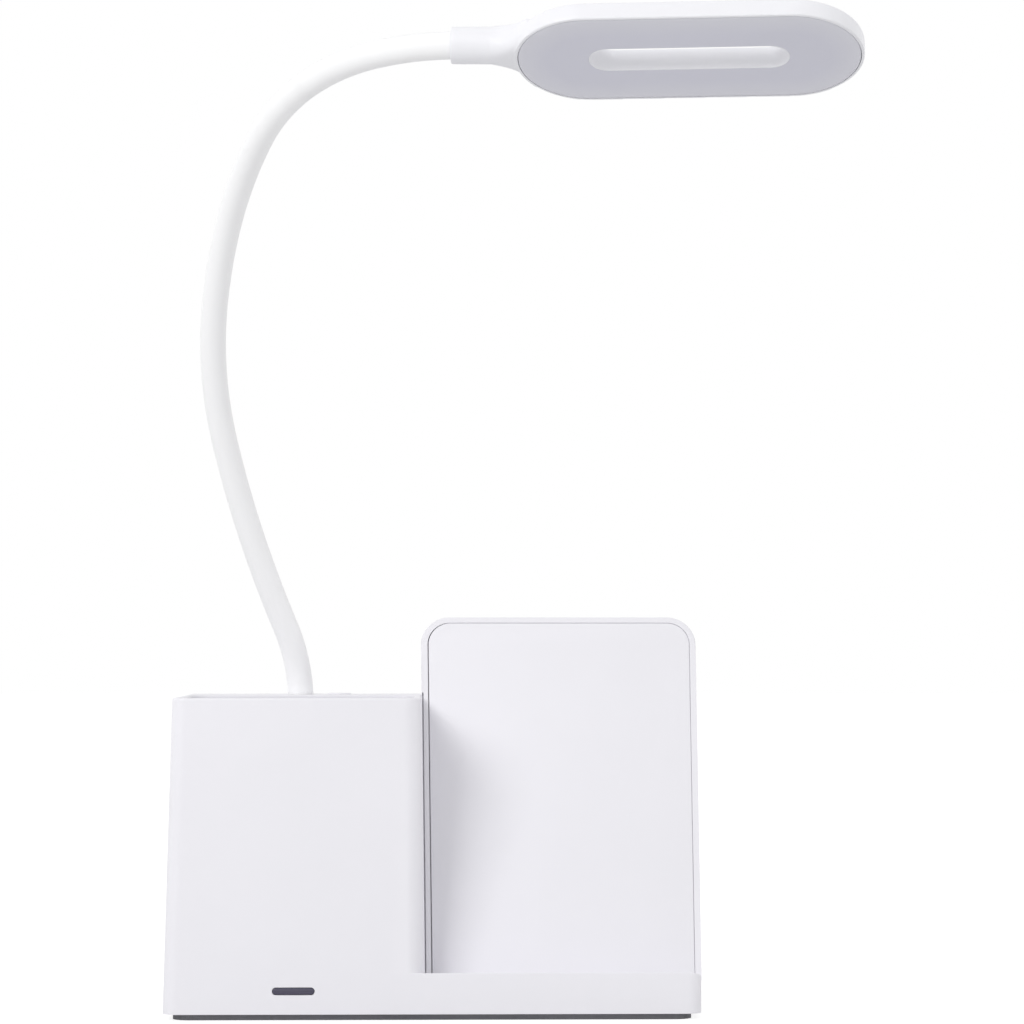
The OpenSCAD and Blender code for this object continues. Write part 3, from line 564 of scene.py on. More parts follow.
@dataclass
class Base:
    """The moulded base: pen pot, ledge with its lip, and the leaning stand with its plate."""

    width: float = 151.6 * MM
    depth: float = 84 * MM
    lip_z: float = 13.4 * MM
    wall: float = 2.2 * MM
    corner_r: float = 4 * MM
    corner_steps: int = 10
    floor_z: float = 1.8 * MM
    pot_w: float = 73.8 * MM
    pot_z: float = 90.4 * MM
    draw_left: float = 2.4 * MM
    draw_right: float = 1.1 * MM
    pot_edge_r: float = 5.4 * MM
    cup_r: float = 4.6 * MM
    cup_floor_r: float = 1.5 * MM
    wide_steps: int = 12
    rim_steps: int = 4
    edge_steps: int = 3
    shadow_w: float = 0.4 * MM
    shadow_d: float = 1.2 * MM
    deck_d: float = 28 * MM
    deck_t: float = 2.5 * MM
    ledge_t: float = 1.5 * MM
    draft: float = math.radians(0.8)
    lean: float = math.radians(18)
    ledge_d: float = 15 * MM
    stand_z: float = 113.5 * MM
    stand_over: float = 1 * MM
    stand_flare: float = 0.8 * MM
    stand_t: float = 13 * MM
    stand_deep: float = 90 * MM
    stand_bury: float = 0.15 * MM
    stand_r: float = 8.5 * MM
    stand_steps: int = 14
    rear_inset: float = 0.3 * MM
    frame_w: float = 1.8 * MM
    plate_gap: float = 0.25 * MM
    plate_step: float = 0.04 * MM
    plate_t: float = 2 * MM
    rim_r: float = 0.7 * MM
    edge_r: float = 0.45 * MM
    detail_r: float = 0.35 * MM
    neck_x: float = -39.5 * MM
    neck_y: float = 26 * MM
    neck_hole_r: float = 4.1 * MM
    button_dx: float = 11.5 * MM
    button_r: float = 3.6 * MM
    button_gap: float = 0.15 * MM
    button_rings: Triple = (0.9 * MM, 0.6 * MM, 0.8 * MM)
    button_dips: Pair = (0.15 * MM, 0.12 * MM)
    lens_x: float = -39 * MM
    lens_z: float = 8.3 * MM
    lens_l: float = 11.8 * MM
    lens_h: float = 2 * MM
    lens_gap: float = 0.1 * MM
    lens_sunk: float = 0.12 * MM
    lens_r: float = 0.2 * MM
    pill_sides: int = 32
    socket_x: float = -20 * MM
    socket_z: float = 8.85 * MM
    socket_w: float = 9.3 * MM
    socket_h: float = 3.6 * MM
    far: float = 30 * MM

    def __post_init__(self) -> None:
        """Works out the edges that the methods share."""
        self.left = -self.width / 2
        self.right = self.width / 2
        self.front = -self.depth / 2
        self.back = self.depth / 2
        self.pot_x = self.left + self.pot_w
        self.deck_y = self.back - self.deck_d
        self.foot_y = self.front + self.ledge_d
        self.foot_z = self.lip_z - self.ledge_d * math.tan(self.lean)
        self.stand_v = (self.stand_z - self.foot_z) / math.cos(self.lean)
        self.slope = self.draw_right / (self.pot_z - self.floor_z)

    def flank(self, z: float) -> float:
        """X of the pot's right side at a height."""
        return self.pot_x - self.slope * (z - self.floor_z)

    def on_plane(self, v: float, d: float) -> Pair:
        """Y and Z of a point at height v along the stand's front plane and d behind it."""
        c, s = math.cos(self.lean), math.sin(self.lean)
        return self.foot_y + v * s + d * c, self.foot_z + v * c - d * s

    def stand_place(self) -> Matrix:
        """Matrix that lays an X and Y drawing, with +Z in front of it, on the stand's plane."""
        tilt = Matrix.Rotation(math.pi / 2 - self.lean, 4, "X")
        return Matrix.Translation((0, self.foot_y, self.foot_z)) @ tilt

    def pot(self) -> Piece:
        """The drafted pot with its round corners, cup and rim.

        Returns:
            The piece.
        """
        top = self.pot_z
        pot = Piece.block("base_shell", (self.left, self.front, self.floor_z), (self.pot_x, self.back, top))
        pot.points(lambda p: p.z > top - NEAR and p.x < self.left + NEAR).slide((self.draw_left, 0, 0))
        pot.points(lambda p: p.z > top - NEAR and p.x > self.pot_x - NEAR).slide((-self.draw_right, 0, 0))
        span = top - self.floor_z - 1 * MM
        middle = (self.left + self.pot_x) / 2
        pot.edges(lambda a, b, t: abs(a.z - b.z) > span and a.x > middle and a.y < 0)
        pot.bevel(self.pot_edge_r, self.wide_steps)
        square = 80
        pot.edges(lambda a, b, t: abs(a.z - b.z) > span and t > square and (a.x < middle or a.y > 0))
        pot.bevel(self.corner_r, self.corner_steps)
        pot.combine("DIFFERENCE", self.cup())
        pot.edges(lambda a, b, t: min(a.z, b.z) > top - NEAR and t > SHARP)
        return pot.bevel(self.rim_r, self.rim_steps)

    def cup(self) -> Piece:
        """The room of the pen cup, drafted, with wide round corners.

        Returns:
            The piece.
        """
        low = (self.left + self.draw_left + self.wall, self.front + self.wall, self.lip_z)
        high = (self.pot_x - self.draw_right - self.wall, self.deck_y, self.pot_z + 5 * MM)
        cup = Piece.block("cup", low, high)
        pull = 2 * (self.pot_z - self.lip_z) * math.tan(self.draft)
        middle = ((low[0] + high[0]) / 2, (low[1] + high[1]) / 2, self.lip_z)
        cup.points(lambda p: p.z < self.lip_z + NEAR)
        cup.grow((1 - pull / (high[0] - low[0]), 1 - pull / (high[1] - low[1]), 1), middle)
        cup.edges(lambda a, b, t: abs(a.z - b.z) > self.pot_z / 2).bevel(self.cup_r, self.wide_steps)
        cup.edges(lambda a, b, t: max(a.z, b.z) < self.lip_z + NEAR and t > SHARP)
        return cup.bevel(self.cup_floor_r, self.rim_steps)

    def ledge(self) -> Piece:
        """The low block with the front lip, the ledge behind it and round ends.

        Returns:
            The piece.
        """
        start = self.pot_x - 2 * self.pot_edge_r
        cut_y = self.foot_y + (self.lip_z - self.foot_z) * math.tan(self.lean)
        hidden = 1.5 * MM
        corners = [
            (self.front, self.floor_z),
            (self.back, self.floor_z),
            (self.back, self.lip_z),
            (cut_y + hidden, self.lip_z),
            (self.foot_y + hidden, self.foot_z),
            (self.foot_y, self.foot_z),
            (self.front, self.lip_z),
        ]
        ledge = Piece.outline("ledge", corners)
        turn = Matrix(((0, 0, 1, 0), (1, 0, 0, 0), (0, 1, 0, 0), (0, 0, 0, 1)))
        ledge.place(turn).place(Matrix.Translation((start, 0, 0)))
        ledge.all().extrude((self.right - start, 0, 0))
        ledge.outward()
        end, side = self.right - NEAR, self.back - NEAR
        ledge.edges(lambda a, b, t: min(a.x, b.x) > end and abs(a.y - b.y) < HAIR and abs(a.y) > side)
        ledge.bevel(self.corner_r, self.corner_steps)
        folded = 50
        ledge.edges(
            lambda a, b, t: t > folded
            and max(a.y, b.y) < self.foot_y + HAIR
            and abs(a.z - self.ledge_z(a.y)) < 2 * HAIR
            and abs(b.z - self.ledge_z(b.y)) < 2 * HAIR
            and not (abs(a.x - start) < HAIR and abs(b.x - start) < HAIR)
        )
        return ledge.bevel(self.edge_r, self.edge_steps)

    def ledge_z(self, y: float) -> float:
        """Height of the ledge's surface."""
        return self.lip_z - (y - self.front) * math.tan(self.lean)

    def stand_outline(self, inset: float, bury: float = 0.0) -> list[Pair]:
        """Corners of the stand in its own plane.

        Args:
            inset: How far they are set in.
            bury: How far the left side goes on into the pot.

        Returns:
            The corners, anticlockwise from the lower left.
        """
        return [
            (self.flank(self.foot_z) + inset - bury, inset),
            (self.right + self.stand_over - inset, inset),
            (self.right + self.stand_over + self.stand_flare - inset, self.stand_v - inset),
            (self.flank(self.stand_z) + inset - bury, self.stand_v - inset),
        ]

    def stand(self) -> Piece:
        """The leaning stand, before its recess is cut.

        Returns:
            The piece.
        """
        deep = self.stand_deep
        stand = Piece.outline("stand", self.stand_outline(0, self.stand_bury))
        stand.all().extrude((0, 0, -deep))
        stand.outward()
        high = self.stand_v - 1 * MM
        stand.edges(lambda a, b, t: abs(a.z - b.z) > deep / 2 and min(a.y, b.y) > high)
        stand.bevel(self.stand_r, self.stand_steps)
        stand.place(self.stand_place())
        bottom = self.foot_z + 1 * MM
        top_rear = self.on_plane(self.stand_v, self.stand_t)
        low_rear = (self.back - self.rear_inset, bottom)
        run = Vector((0, low_rear[0] - top_rear[0], low_rear[1] - top_rear[1])).normalized()
        stand.trim((0, *top_rear), (0, -run.z, run.y))
        stand.trim((0, 0, bottom), (0, 0, -1))
        stand.outward()
        low, turned = self.foot_z + 1.5 * MM, 40
        stand.edges(lambda a, b, t: t > turned and min(a.z, b.z) > low and not self.left_side(a, b))
        return stand.bevel(self.edge_r, self.edge_steps)

    def left_side(self, a: Vector, b: Vector) -> bool:
        """True for an edge that runs along the pot's flank below its rim."""
        low = min(a.z, b.z) < self.pot_z - 2 * MM
        return low and max(a.x, b.x) < self.pot_x + 0.5 * MM

    def recess(self) -> Piece:
        """The room in the stand that takes the plate.

        Returns:
            The piece.
        """
        recess = Piece.outline("recess", self.stand_outline(self.frame_w), -self.plate_t - NEAR)
        recess.all().extrude((0, 0, self.plate_t + 2 * MM))
        return self.round_top(recess, self.stand_r - self.frame_w).place(self.stand_place())

    def shadow_line(self) -> Piece:
        """The narrow groove that parts the stand's frame from the pot's flank.

        Returns:
            The piece to cut with.
        """
        low, high = 0.2 * MM, (self.pot_z - self.foot_z) / math.cos(self.lean) + 1 * MM
        corners = [
            (self.flank(self.foot_z), low),
            (self.flank(self.foot_z) + self.shadow_w, low),
            (self.flank(self.pot_z) + self.shadow_w, high),
            (self.flank(self.pot_z), high),
        ]
        groove = Piece.outline("shadow_line", corners, -self.shadow_d)
        groove.all().extrude((0, 0, self.shadow_d + 5 * MM))
        return groove.outward().place(self.stand_place())

    def round_top(self, piece: Piece, radius: float) -> Piece:
        """Turns the faces out and rounds the two upper corners of a slab drawn in the stand's plane.

        Args:
            piece: The slab.
            radius: Radius of the corners.

        Returns:
            The slab.
        """
        piece.outward()
        piece.edges(lambda a, b, t: abs(a.z - b.z) > 1 * MM and min(a.y, b.y) > self.stand_v / 2)
        return piece.bevel(radius, self.stand_steps)

    def pill(self, name: str, size: Pair, ends: Pair, x: float, z: float) -> Piece:
        """A pill-shaped bar along Y.

        Args:
            name: Its name.
            size: Its length along X and height along Z.
            ends: Y of its near and far end.
            x: X of its axis.
            z: Z of its axis.

        Returns:
            The piece.
        """
        length, height = size
        near, far = ends
        pill = Piece.drum(name, height / 2, 0, far - near, self.pill_sides)
        half = (length - height) / 2
        pill.points(lambda p: p.x > HAIR).slide((half, 0, 0))
        pill.points(lambda p: p.x < -HAIR).slide((-half, 0, 0))
        return pill.place(Matrix.Translation((x, near, z)) @ Matrix.Rotation(-math.pi / 2, 4, "X"))

    def deck_hole(self, name: str, radius: float, x: float) -> Piece:
        """An upright round bar through the deck behind the cup, at an X."""
        hole = Piece.drum(name, radius, self.pot_z - 4 * MM, self.pot_z + self.far)
        return hole.place(Matrix.Translation((x, self.neck_y, 0)))

    def shell(self) -> None:
        """The whole moulding: pot, ledge and stand as one, hollow below, with its holes."""
        wall, far = self.wall, self.far
        low = (self.left + wall, self.front + wall, 0)
        under = Piece.block("under", low, (self.right - wall, self.back - wall, self.foot_z - self.ledge_t))
        low = (self.left + 2 * wall, self.deck_y + wall, 1 * MM)
        high = (self.pot_x - 2 * wall, self.back - wall, self.pot_z - self.deck_t)
        rear_room = Piece.block("rear_room", low, high)
        neck_hole = self.deck_hole("neck_hole", self.neck_hole_r, self.neck_x)
        button_x = self.neck_x + self.button_dx
        button_hole = self.deck_hole("button_hole", self.button_r + self.button_gap, button_x)
        size = (self.lens_l + 2 * self.lens_gap, self.lens_h + 2 * self.lens_gap)
        ends = (self.front - far, self.front + 2.6 * MM)
        lens_hole = self.pill("lens_hole", size, ends, self.lens_x, self.lens_z)
        ends = (self.back - 3 * MM, self.back + far)
        socket_hole = self.pill(
            "socket_hole", (self.socket_w, self.socket_h), ends, self.socket_x, self.socket_z
        )
        shell = self.pot()
        shell.combine("UNION", self.ledge(), self.stand())
        shell.combine("DIFFERENCE", self.recess(), self.shadow_line(), under, rear_room)
        shell.combine("DIFFERENCE", neck_hole, button_hole, lens_hole, socket_hole)
        shell.outward()
        shell.finish(Look.SHELL, "base", "white_abs", ("main_shell",))

    def plate(self) -> None:
        """The charging plate, let in flush with the stand's frame."""
        inset = self.frame_w + self.plate_step
        outline = self.stand_outline(inset, self.plate_step - self.plate_gap)
        plate = Piece.outline("phone_plate", outline, -self.plate_t)
        plate.all().extrude((0, 0, self.plate_t))
        self.round_top(plate, self.stand_r - inset)
        plate.edges(lambda a, b, t: min(a.z, b.z) > -NEAR and t > SHARP)
        plate.bevel(self.detail_r, self.edge_steps)
        plate.place(self.stand_place())
        plate.finish(Look.PLATE, "base", "white_abs", ("charging_plate",))

    def lens(self) -> None:
        """The smoked lens of the status light, a little sunk in the pot's front."""
        face = self.front + self.lens_sunk
        size, ends = (self.lens_l, self.lens_h), (face, self.front + self.wall)
        lens = self.pill("status_lens", size, ends, self.lens_x, self.lens_z)
        lens.edges(lambda a, b, t: max(a.y, b.y) < face + HAIR and t > SHARP)
        lens.bevel(self.lens_r, self.edge_steps)
        lens.finish(Look.SMOKE, "base", "smoked_lens", ("indicator_lens",))

    def button(self) -> None:
        """The round button with a dished top."""
        low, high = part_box("power_button")
        button = Piece.drum("deck_button", self.button_r, low[2], high[2])
        rim, slope, dish = self.button_rings
        button.faces(lambda c, n: n.z > 0.9).inset(rim).inset(slope)
        button.slide((0, 0, -self.button_dips[0])).inset(dish).slide((0, 0, -self.button_dips[1]))
        button.edges(lambda a, b, t: min(a.z, b.z) > high[2] - HAIR and t > SHARP)
        button.bevel(self.detail_r, self.rim_steps)
        button.place(Matrix.Translation((self.neck_x + self.button_dx, self.neck_y, 0)))
        button.finish(Look.PLATE, "button", "white_abs", ("power_button",))

    def build(self) -> None:
        """Builds every piece of the base."""
        for make in (self.shell, self.plate, self.lens, self.button):
            make()


# ---- Neck ----


@dataclass(frozen=True)
class Link:
    """One bending length of the neck: its length, how far it bends and to which side, in degrees."""

    length: float
    bend: float
    side: float


@dataclass
class Neck:
    """The flexible neck: a chain of arcs under one smooth skin, cut where each length is stiff."""

    foot: Triple = (-39.5 * MM, 26 * MM, 87.6 * MM)
    radius: float = 3.8 * MM
    limit: float = math.radians(20)
    gap: float = 0.13 * MM
    blend: float = 9 * MM
    step: float = 1.5 * MM
    bevel_steps: int = 12
    smooth_angle: float = 50.0
    links: tuple[Link, ...] = (
        Link(24.5 * MM, 23, -169),
        Link(57 * MM, 19, -60),
        Link(47.5 * MM, 21, -30),
        Link(55.5 * MM, 25, -58),
        Link(53.5 * MM, 44, -17),
        Link(22 * MM, 21, 9),
    )
    bodies: tuple[str, ...] = ("base", "neck_2", "neck_3", "neck_4", "neck_5", "neck_6")
    stretches: list[list[Vector]] = field(default_factory=list)
    joints: list[Vector] = field(default_factory=list)
    tangents: list[Vector] = field(default_factory=list)
    end: Matrix = field(default_factory=Matrix)

    def __post_init__(self) -> None:
        """Walks the chain of arcs and keeps its points, joints and end frame."""
        half_gap = self.radius * math.tan(self.limit / 2) + self.gap
        here = Matrix.Translation(self.foot)
        for k, link in enumerate(self.links):
            before = 0.0 if k == 0 else half_gap
            after = 0.0 if k == len(self.links) - 1 else half_gap
            bend, side = math.radians(link.bend), math.radians(link.side)
            aside = Matrix.Rotation(side, 4, "Z")
            radius = (link.length - before - after) / bend
            here = here @ Matrix.Translation((0, 0, before))
            count = max(4, round(link.length / self.step))
            points = []
            for n in range(count + 1):
                a = bend * n / count
                flat = Vector((radius * (1 - math.cos(a)), 0, radius * math.sin(a)))
                points.append(here @ (aside @ flat))
            turn = aside @ Matrix.Rotation(bend, 4, "Y") @ Matrix.Rotation(-side, 4, "Z")
            here = Matrix.Translation(points[-1]) @ (here.to_3x3().to_4x4() @ turn)
            here = here @ Matrix.Translation((0, 0, after))
            self.stretches.append(points)
            self.joints.append(here.to_translation())
            self.tangents.append(here.to_3x3() @ Vector((0, 0, 1)))
        self.end = here

    def route(self, k: int) -> list[Vector]:
        """Middle line of the skin over a joint, which overlaps its neighbours by a step.

        Args:
            k: Number of the joint, from 0.

        Returns:
            Its points, from the middle of one length to past the middle of the next.
        """
        first, second = self.stretches[k], self.stretches[k + 1]
        start = 0 if k == 0 else len(first) // 2 - 1
        stop = len(second) if k == len(self.links) - 2 else len(second) // 2 + 2
        return first[start:] + second[:stop]

    def skin(self, k: int) -> None:
        """The skin over one joint.

        Args:
            k: Number of the joint, from 0.
        """
        route = self.route(k)
        Piece.clear()
        bpy.ops.curve.primitive_nurbs_path_add()
        drawing = bpy.context.object.data
        drawing.splines.clear()
        line = drawing.splines.new("POLY")
        line.points.add(len(route) - 1)
        for point, spot in zip(line.points, route):
            point.co = (*spot, 1.0)
        drawing.bevel_depth = self.radius
        drawing.bevel_resolution = self.bevel_steps
        drawing.use_fill_caps = True
        bpy.ops.object.convert(target="MESH")
        skin = Piece("neck_skin_%d" % (k + 1))
        skin.outward()
        nodes = ["neck_sleeve_%d" % (k + 1)]
        if k == len(self.links) - 2:
            nodes.append("neck_sleeve_%d" % (k + 2))
        skin.finish(Look.SKIN, "", "silicone_white", tuple(nodes), self.smooth_angle)
        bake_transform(skin.shape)

    def build(self) -> None:
        """Builds the skin over every joint."""
        for k in range(len(self.links) - 1):
            self.skin(k)


# ---- Head ----


@dataclass
class Head:
    """The oval ring head on its collar, drawn along X with the light face down."""

    neck: Neck
    collar_r: float = 5.1 * MM
    collar_l: float = 11 * MM
    cup: float = 2 * MM
    cup_gap: float = 0.2 * MM
    up: float = 1.2 * MM
    tilt: float = math.radians(1.5)
    start: float = 17.5 * MM
    length: float = 94.5 * MM
    width: float = 40 * MM
    thick: float = 5.6 * MM
    back_r: float = 1.5 * MM
    back_steps: int = 8
    flare_l: float = 10 * MM
    hump_l: float = 18 * MM
    bury: float = 0.15 * MM
    flare_rings: int = 14
    flare_sides: int = 48
    flare_curve: float = 2.6
    flare_square: float = 1.5
    voxel: float = 0.3 * MM
    smooth_rounds: int = 8
    smooth_factor: float = 0.5
    slot_l: float = 54 * MM
    slot_w: float = 10.4 * MM
    slot_draw: float = 1.4 * MM
    slot_lip: float = 0.15 * MM
    slot_gap: float = 0.03 * MM
    rim: float = 0.8 * MM
    sheet_t: float = 1.4 * MM
    sheet_r: float = 0.25 * MM
    sheet_steps: int = 2
    seam: float = 0.15 * MM
    wall: float = 1.3 * MM
    back_t: float = 1.4 * MM
    roll: float = math.radians(-83)
    glow_reach: float = 9 * MM
    glow_steps: tuple[float, ...] = (0.8, 1.0, 1.5, 2.0, 2.5, 3.0)
    arc_steps: int = 24
    through: float = 4 * MM
    smooth_angle: float = 35.0

    def __post_init__(self) -> None:
        """Works out the sizes that the methods share."""
        self.middle = self.start + self.length / 2
        self.half = self.thick / 2

    def place(self) -> Matrix:
        """Matrix from the head's own drawing to the lamp."""
        end = self.neck.end @ Matrix.Translation((0, 0, -self.cup))
        return end @ Matrix.Rotation(self.roll, 4, "Z") @ Matrix.Rotation(-math.pi / 2, 4, "Y")

    def lay(self, piece: Piece) -> Piece:
        """Moves a piece drawn about the oval's middle plane to its tilted place beside the collar."""
        there = Matrix.Translation((self.middle, 0, -self.up)) @ Matrix.Rotation(-self.tilt, 4, "Y")
        return piece.place(there @ Matrix.Translation((-self.middle, 0, 0)))

    def oval(self, name: str, size: Pair, span: Pair, steps: int = 24, draw: float = 0.0) -> Piece:
        """An upright slab with a stadium outline on the head's middle.

        Args:
            name: Its name.
            size: Its length along X and its width.
            span: Height of its lower and upper face.
            steps: Segments of each round end.
            draw: How far its sides draw in towards the upper face.

        Returns:
            The piece.
        """
        length, width = size
        low, high = span
        half = (length - width) / 2
        corners = []
        for sign, first in ((1, -90), (-1, 90)):
            for k in range(steps + 1):
                a = math.radians(first + 180 * k / steps)
                x = self.middle + sign * half + width / 2 * math.cos(a)
                corners.append((x, width / 2 * math.sin(a)))
        slab = Piece.outline(name, corners, low)
        slab.all().extrude((0, 0, high - low))
        slab.grow((1 - 2 * draw / length, 1 - 2 * draw / width, 1), (self.middle, 0, high))
        return slab.outward()

    def wider(self, size: Pair, rim: float) -> Pair:
        """A length and width that are wider by a rim on every side."""
        return size[0] + 2 * rim, size[1] + 2 * rim

    def flare_ring(self, k: int) -> list[Vector]:
        """One ring of the flare, round at the collar and squarer as it widens and sinks into the oval.

        Args:
            k: Number of the ring, from 0 at the collar.

        Returns:
            Its points.
        """
        whole = k / self.flare_rings
        x = self.collar_l + self.hump_l * whole
        wide = min(1.0, self.hump_l * whole / self.flare_l)
        middle = -self.up - (self.middle - x) * math.tan(self.tilt)
        flat = self.half - self.bury
        end_r = self.width / 2
        join_w = math.sqrt(end_r**2 - (end_r + self.start - self.collar_l - self.flare_l) ** 2)
        side = self.collar_r + (join_w - self.collar_r) * wide**self.flare_curve
        above = self.collar_r + (flat + middle - self.collar_r) * self.ease(whole)
        below = self.collar_r + (flat - middle - self.collar_r) * self.ease(wide)
        power = 1 / (1 + self.flare_square * wide)
        ring = []
        for j in range(self.flare_sides):
            a = 2 * math.pi * (j + 0.5) / self.flare_sides
            across, along = math.cos(a), math.sin(a)
            tall = above if along > 0 else below
            y = side * math.copysign(abs(across) ** power, across)
            ring.append(Vector((x, y, tall * math.copysign(abs(along) ** power, along))))
        return ring

    @staticmethod
    def ease(t: float) -> float:
        """Smooth step from 0 to 1."""
        return t * t * (3 - 2 * t)

    def flare(self) -> Piece:
        """The straight collar and the flare behind it, as one skin.

        Returns:
            The piece.
        """
        rings = [self.flare_ring(k) for k in range(self.flare_rings + 1)]
        mouth = [Vector((0, point.y, point.z)) for point in rings[0]]
        return Piece.loft("flare", [mouth, *rings])

    def room(self) -> Piece:
        """The room for the sheet and the lights behind it, round the slot's wall.

        Returns:
            The piece to cut with.
        """
        half, fine = self.half, self.arc_steps * 2
        below, seat = -half - self.through, -half + self.sheet_t + self.seam
        face, slot = (self.length, self.width), (self.slot_l, self.slot_w)
        room = self.oval("sheet_room", self.wider(face, -self.rim), (below, seat), fine)
        span = (seat - 1 * MM, half - self.back_t)
        room.combine("UNION", self.oval("lights", self.wider(face, -self.wall), span))
        core = self.oval("core", self.wider(slot, self.wall), (seat, half))
        lip = self.oval("slot_lip", self.wider(slot, self.slot_lip), (below - 1 * MM, half))
        return room.combine("DIFFERENCE", core, lip)

    def housing(self) -> None:
        """The white housing: oval, flare and collar grown into one, then cut for its sheet and slot."""
        half = self.half
        housing = self.oval("head_shell", (self.length, self.width), (-half, half), self.arc_steps * 2)
        housing.edges(lambda a, b, t: min(a.z, b.z) > half - HAIR and t > SHARP)
        housing.bevel(self.back_r, self.back_steps)
        self.lay(housing)
        housing.combine("UNION", self.flare())
        housing.modifier("REMESH", mode="VOXEL", voxel_size=self.voxel)
        housing.modifier("SMOOTH", factor=self.smooth_factor, iterations=self.smooth_rounds)
        lead = self.through * self.slot_draw / self.thick
        size = self.wider((self.slot_l, self.slot_w), lead)
        span = (-half - self.through, half + self.through)
        slot = self.oval("slot", size, span, draw=2 * lead + self.slot_draw)
        mouth = Piece.drum("mouth", self.neck.radius + self.cup_gap, -1 * MM, self.cup + 1 * MM)
        mouth.place(Matrix.Rotation(math.pi / 2, 4, "Y"))
        housing.combine("DIFFERENCE", self.lay(self.room()), self.lay(slot), mouth)
        housing.outward().place(self.place())
        housing.finish(Look.HEAD, "head", "white_abs", ("head_housing",), self.smooth_angle)

    def sheet(self) -> None:
        """The opal sheet inside the housing's rim, with the slot through it and rings for its glow."""
        face = -self.half
        size = self.wider((self.length, self.width), -self.rim - self.seam)
        sheet = self.oval("opal_face", size, (face, face + self.sheet_t), self.arc_steps * 2)
        sheet.edges(lambda a, b, t: max(a.z, b.z) < face + HAIR and t > SHARP)
        sheet.bevel(self.sheet_r, self.sheet_steps)
        sheet.faces(lambda c, n: n.z < -0.99)
        for width in self.glow_steps:
            sheet.inset(width * MM)
        slot = self.wider((self.slot_l, self.slot_w), self.slot_lip + self.slot_gap)
        sheet.combine("DIFFERENCE", self.oval("sheet_slot", slot, (face - 1 * MM, face + 3 * MM)))
        sheet.close()
        self.mark_rim(sheet.shape)
        sheet.open()
        self.lay(sheet).place(self.place())
        sheet.finish(Look.OPAL, "head", "opal_diffuser", ("diffuser",), self.smooth_angle)

    def mark_rim(self, shape: bpy.types.Object) -> None:
        """Writes each point's depth inside the oval's outline, in reaches of the glow, as an attribute.

        Args:
            shape: The sheet, before it is laid.
        """
        straight = (self.length - self.width) / 2
        depth = shape.data.attributes.new("rim_depth", "FLOAT", "POINT")
        for point, mark in zip(shape.data.vertices, depth.data):
            past = max(abs(point.co.x - self.middle) - straight, 0.0)
            inside = self.width / 2 - math.hypot(past, point.co.y)
            mark.value = min(max(inside / self.glow_reach, 0.0), 1.0)

    def build(self) -> None:
        """Builds the housing and its sheet."""
        self.housing()
        self.sheet()


# ---- Carried-over solids ----


def dress_solids() -> None:
    """Gives every solid that still shows the finish of its material slot."""
    for row in frame["record"]["subparts"]:
        node = frame["nodes"][row["node"]]
        look = SLOT_LOOKS[row["material_slot"]]
        node.data.materials.clear()
        node.data.materials.append(look.value.material())


# ---- Studio ----


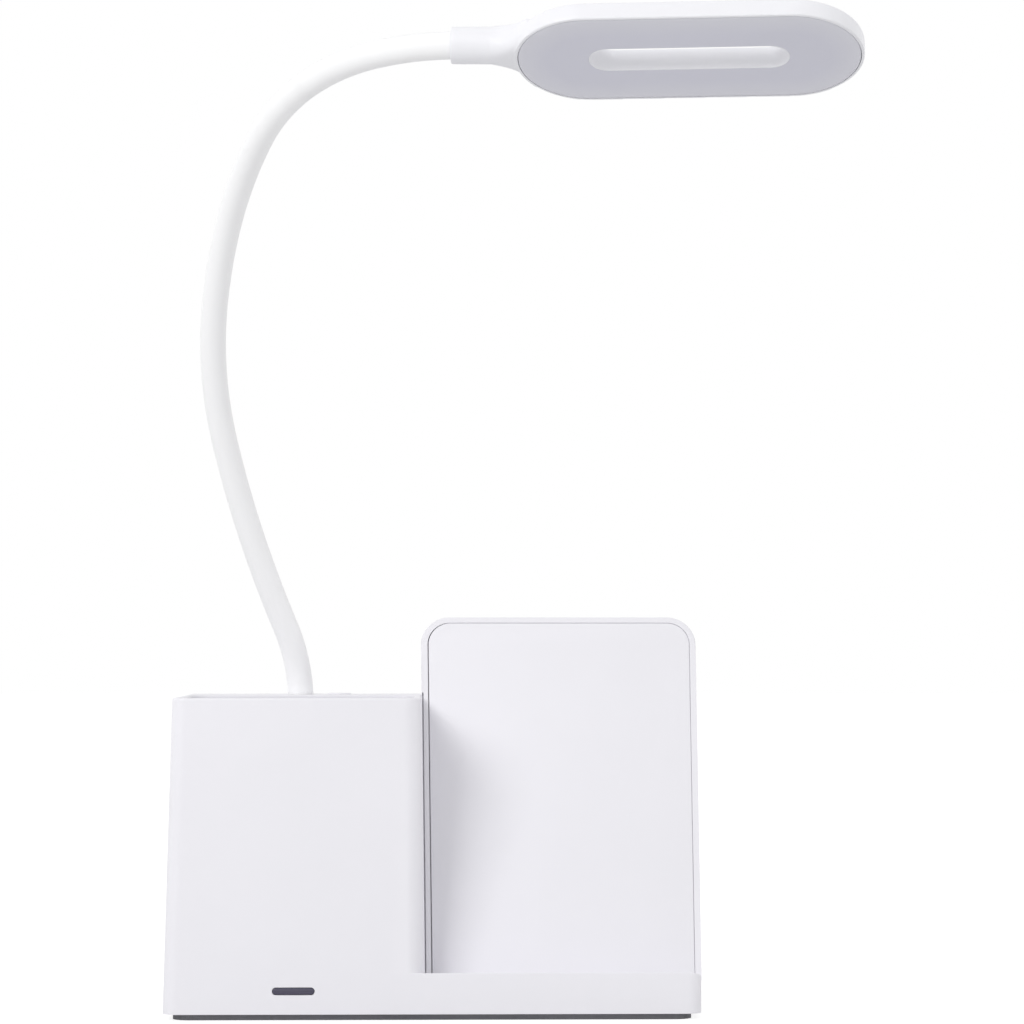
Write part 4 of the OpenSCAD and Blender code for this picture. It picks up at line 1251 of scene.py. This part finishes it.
@dataclass
class Studio:
    """Camera, floor, lamps and world."""

    camera_at: Triple = (-0.35 * MM, -1042 * MM, 106.7 * MM)
    yaw: float = math.radians(1.298)
    pitch: float = math.radians(2.065)
    lens_mm: float = 124.8
    sensor_mm: float = 36
    clip: Pair = (0.01, 100)
    world_level: float = 0.61
    floor_size: float = 12.0
    floor_grey: float = 0.8
    shown_grey: float = 0.4
    shown_glow: float = 0.8
    aim: Triple = (0, 0, 0.13)
    lamps: tuple[tuple[str, Triple, float, float], ...] = (
        ("key", (-0.95, -1.45, 1.15), 0.9, 15.8),
        ("fill", (1.4, -1.2, 0.8), 1.2, 1.0),
        ("top", (0.1, 0.3, 1.7), 1.0, 1.0),
        ("right_rear", (1.4, 0.9, 0.6), 1.1, 2.2),
        ("right_strip", (1.45, -0.1, 0.3), 0.35, 1.6),
        ("left_rear", (-1.3, 0.9, 0.7), 1.0, 2.0),
    )

    def camera(self) -> None:
        """Sets the camera of the photograph."""
        Piece.clear()
        turn = (math.pi / 2 + self.pitch, 0, -self.yaw)
        bpy.ops.object.camera_add(location=self.camera_at, rotation=turn)
        camera = bpy.context.object
        camera.name = "photo_camera"
        camera.data.lens = self.lens_mm
        camera.data.sensor_width = self.sensor_mm
        camera.data.clip_start, camera.data.clip_end = self.clip
        bpy.context.scene.camera = camera

    def floor(self) -> None:
        """Lays the pale floor, which shows white to the camera and keeps the shadow."""
        Piece.clear()
        bpy.ops.mesh.primitive_plane_add(size=self.floor_size)
        plane = bpy.context.object
        plane.name = "studio_floor"
        made = bpy.data.materials.new("studio_floor")
        made.use_nodes = True
        tree = made.node_tree
        tree.nodes.clear()
        plain, matt = (
            wire(tree, "ShaderNodeBsdfDiffuse", {"Color": (grey, grey, grey, 1)}).outputs[0]
            for grey in (self.floor_grey, self.shown_grey)
        )
        glow = wire(tree, "ShaderNodeEmission", {"Strength": self.shown_glow}).outputs[0]
        shown = wire(tree, "ShaderNodeAddShader", {0: matt, 1: glow}).outputs[0]
        seen = tree.nodes.new("ShaderNodeLightPath").outputs["Is Camera Ray"]
        pick = wire(tree, "ShaderNodeMixShader", {0: seen, 1: plain, 2: shown}).outputs[0]
        wire(tree, "ShaderNodeOutputMaterial", {"Surface": pick})
        plane.data.materials.append(made)

    def world(self) -> None:
        """Sets a white surround for the camera and for reflections, and a plain level of light."""
        world = bpy.data.worlds.new("studio")
        bpy.context.scene.world = world
        world.use_nodes = True
        tree = world.node_tree
        path = tree.nodes.new("ShaderNodeLightPath").outputs
        seen = path["Is Camera Ray"]
        for ray in ("Is Glossy Ray", "Is Transmission Ray"):
            either = wire(tree, "ShaderNodeMath", {0: seen, 1: path[ray]})
            either.operation = "MAXIMUM"
            seen = either.outputs[0]
        level = wire(tree, "ShaderNodeMapRange", {"Value": seen, "To Min": self.world_level, "To Max": 1.0})
        wire(tree, "Background", {"Color": (1, 1, 1, 1), "Strength": level.outputs["Result"]})

    def light(self) -> None:
        """Hangs the soft lamps, each turned to the middle of the object."""
        for name, place, size, power in self.lamps:
            Piece.clear()
            turn = (Vector(place) - Vector(self.aim)).to_track_quat("Z", "Y").to_euler()
            bpy.ops.object.light_add(type="AREA", location=place, rotation=turn)
            lamp = bpy.context.object
            lamp.name = name
            lamp.data.size = size
            lamp.data.energy = power

    def build(self) -> None:
        """Sets up the whole studio."""
        self.camera()
        self.floor()
        self.world()
        self.light()
        bpy.context.scene.view_settings.view_transform = "Standard"


def main() -> None:
    """Builds the lamp's looks in order."""
    logging.basicConfig(level=logging.INFO, format="%(name)s %(message)s")
    studio = Studio()
    studio.build()
    dress_solids()
    Base().build()
    neck = Neck()
    neck.build()
    Head(neck).build()


if __name__ == "__main__":
    main()
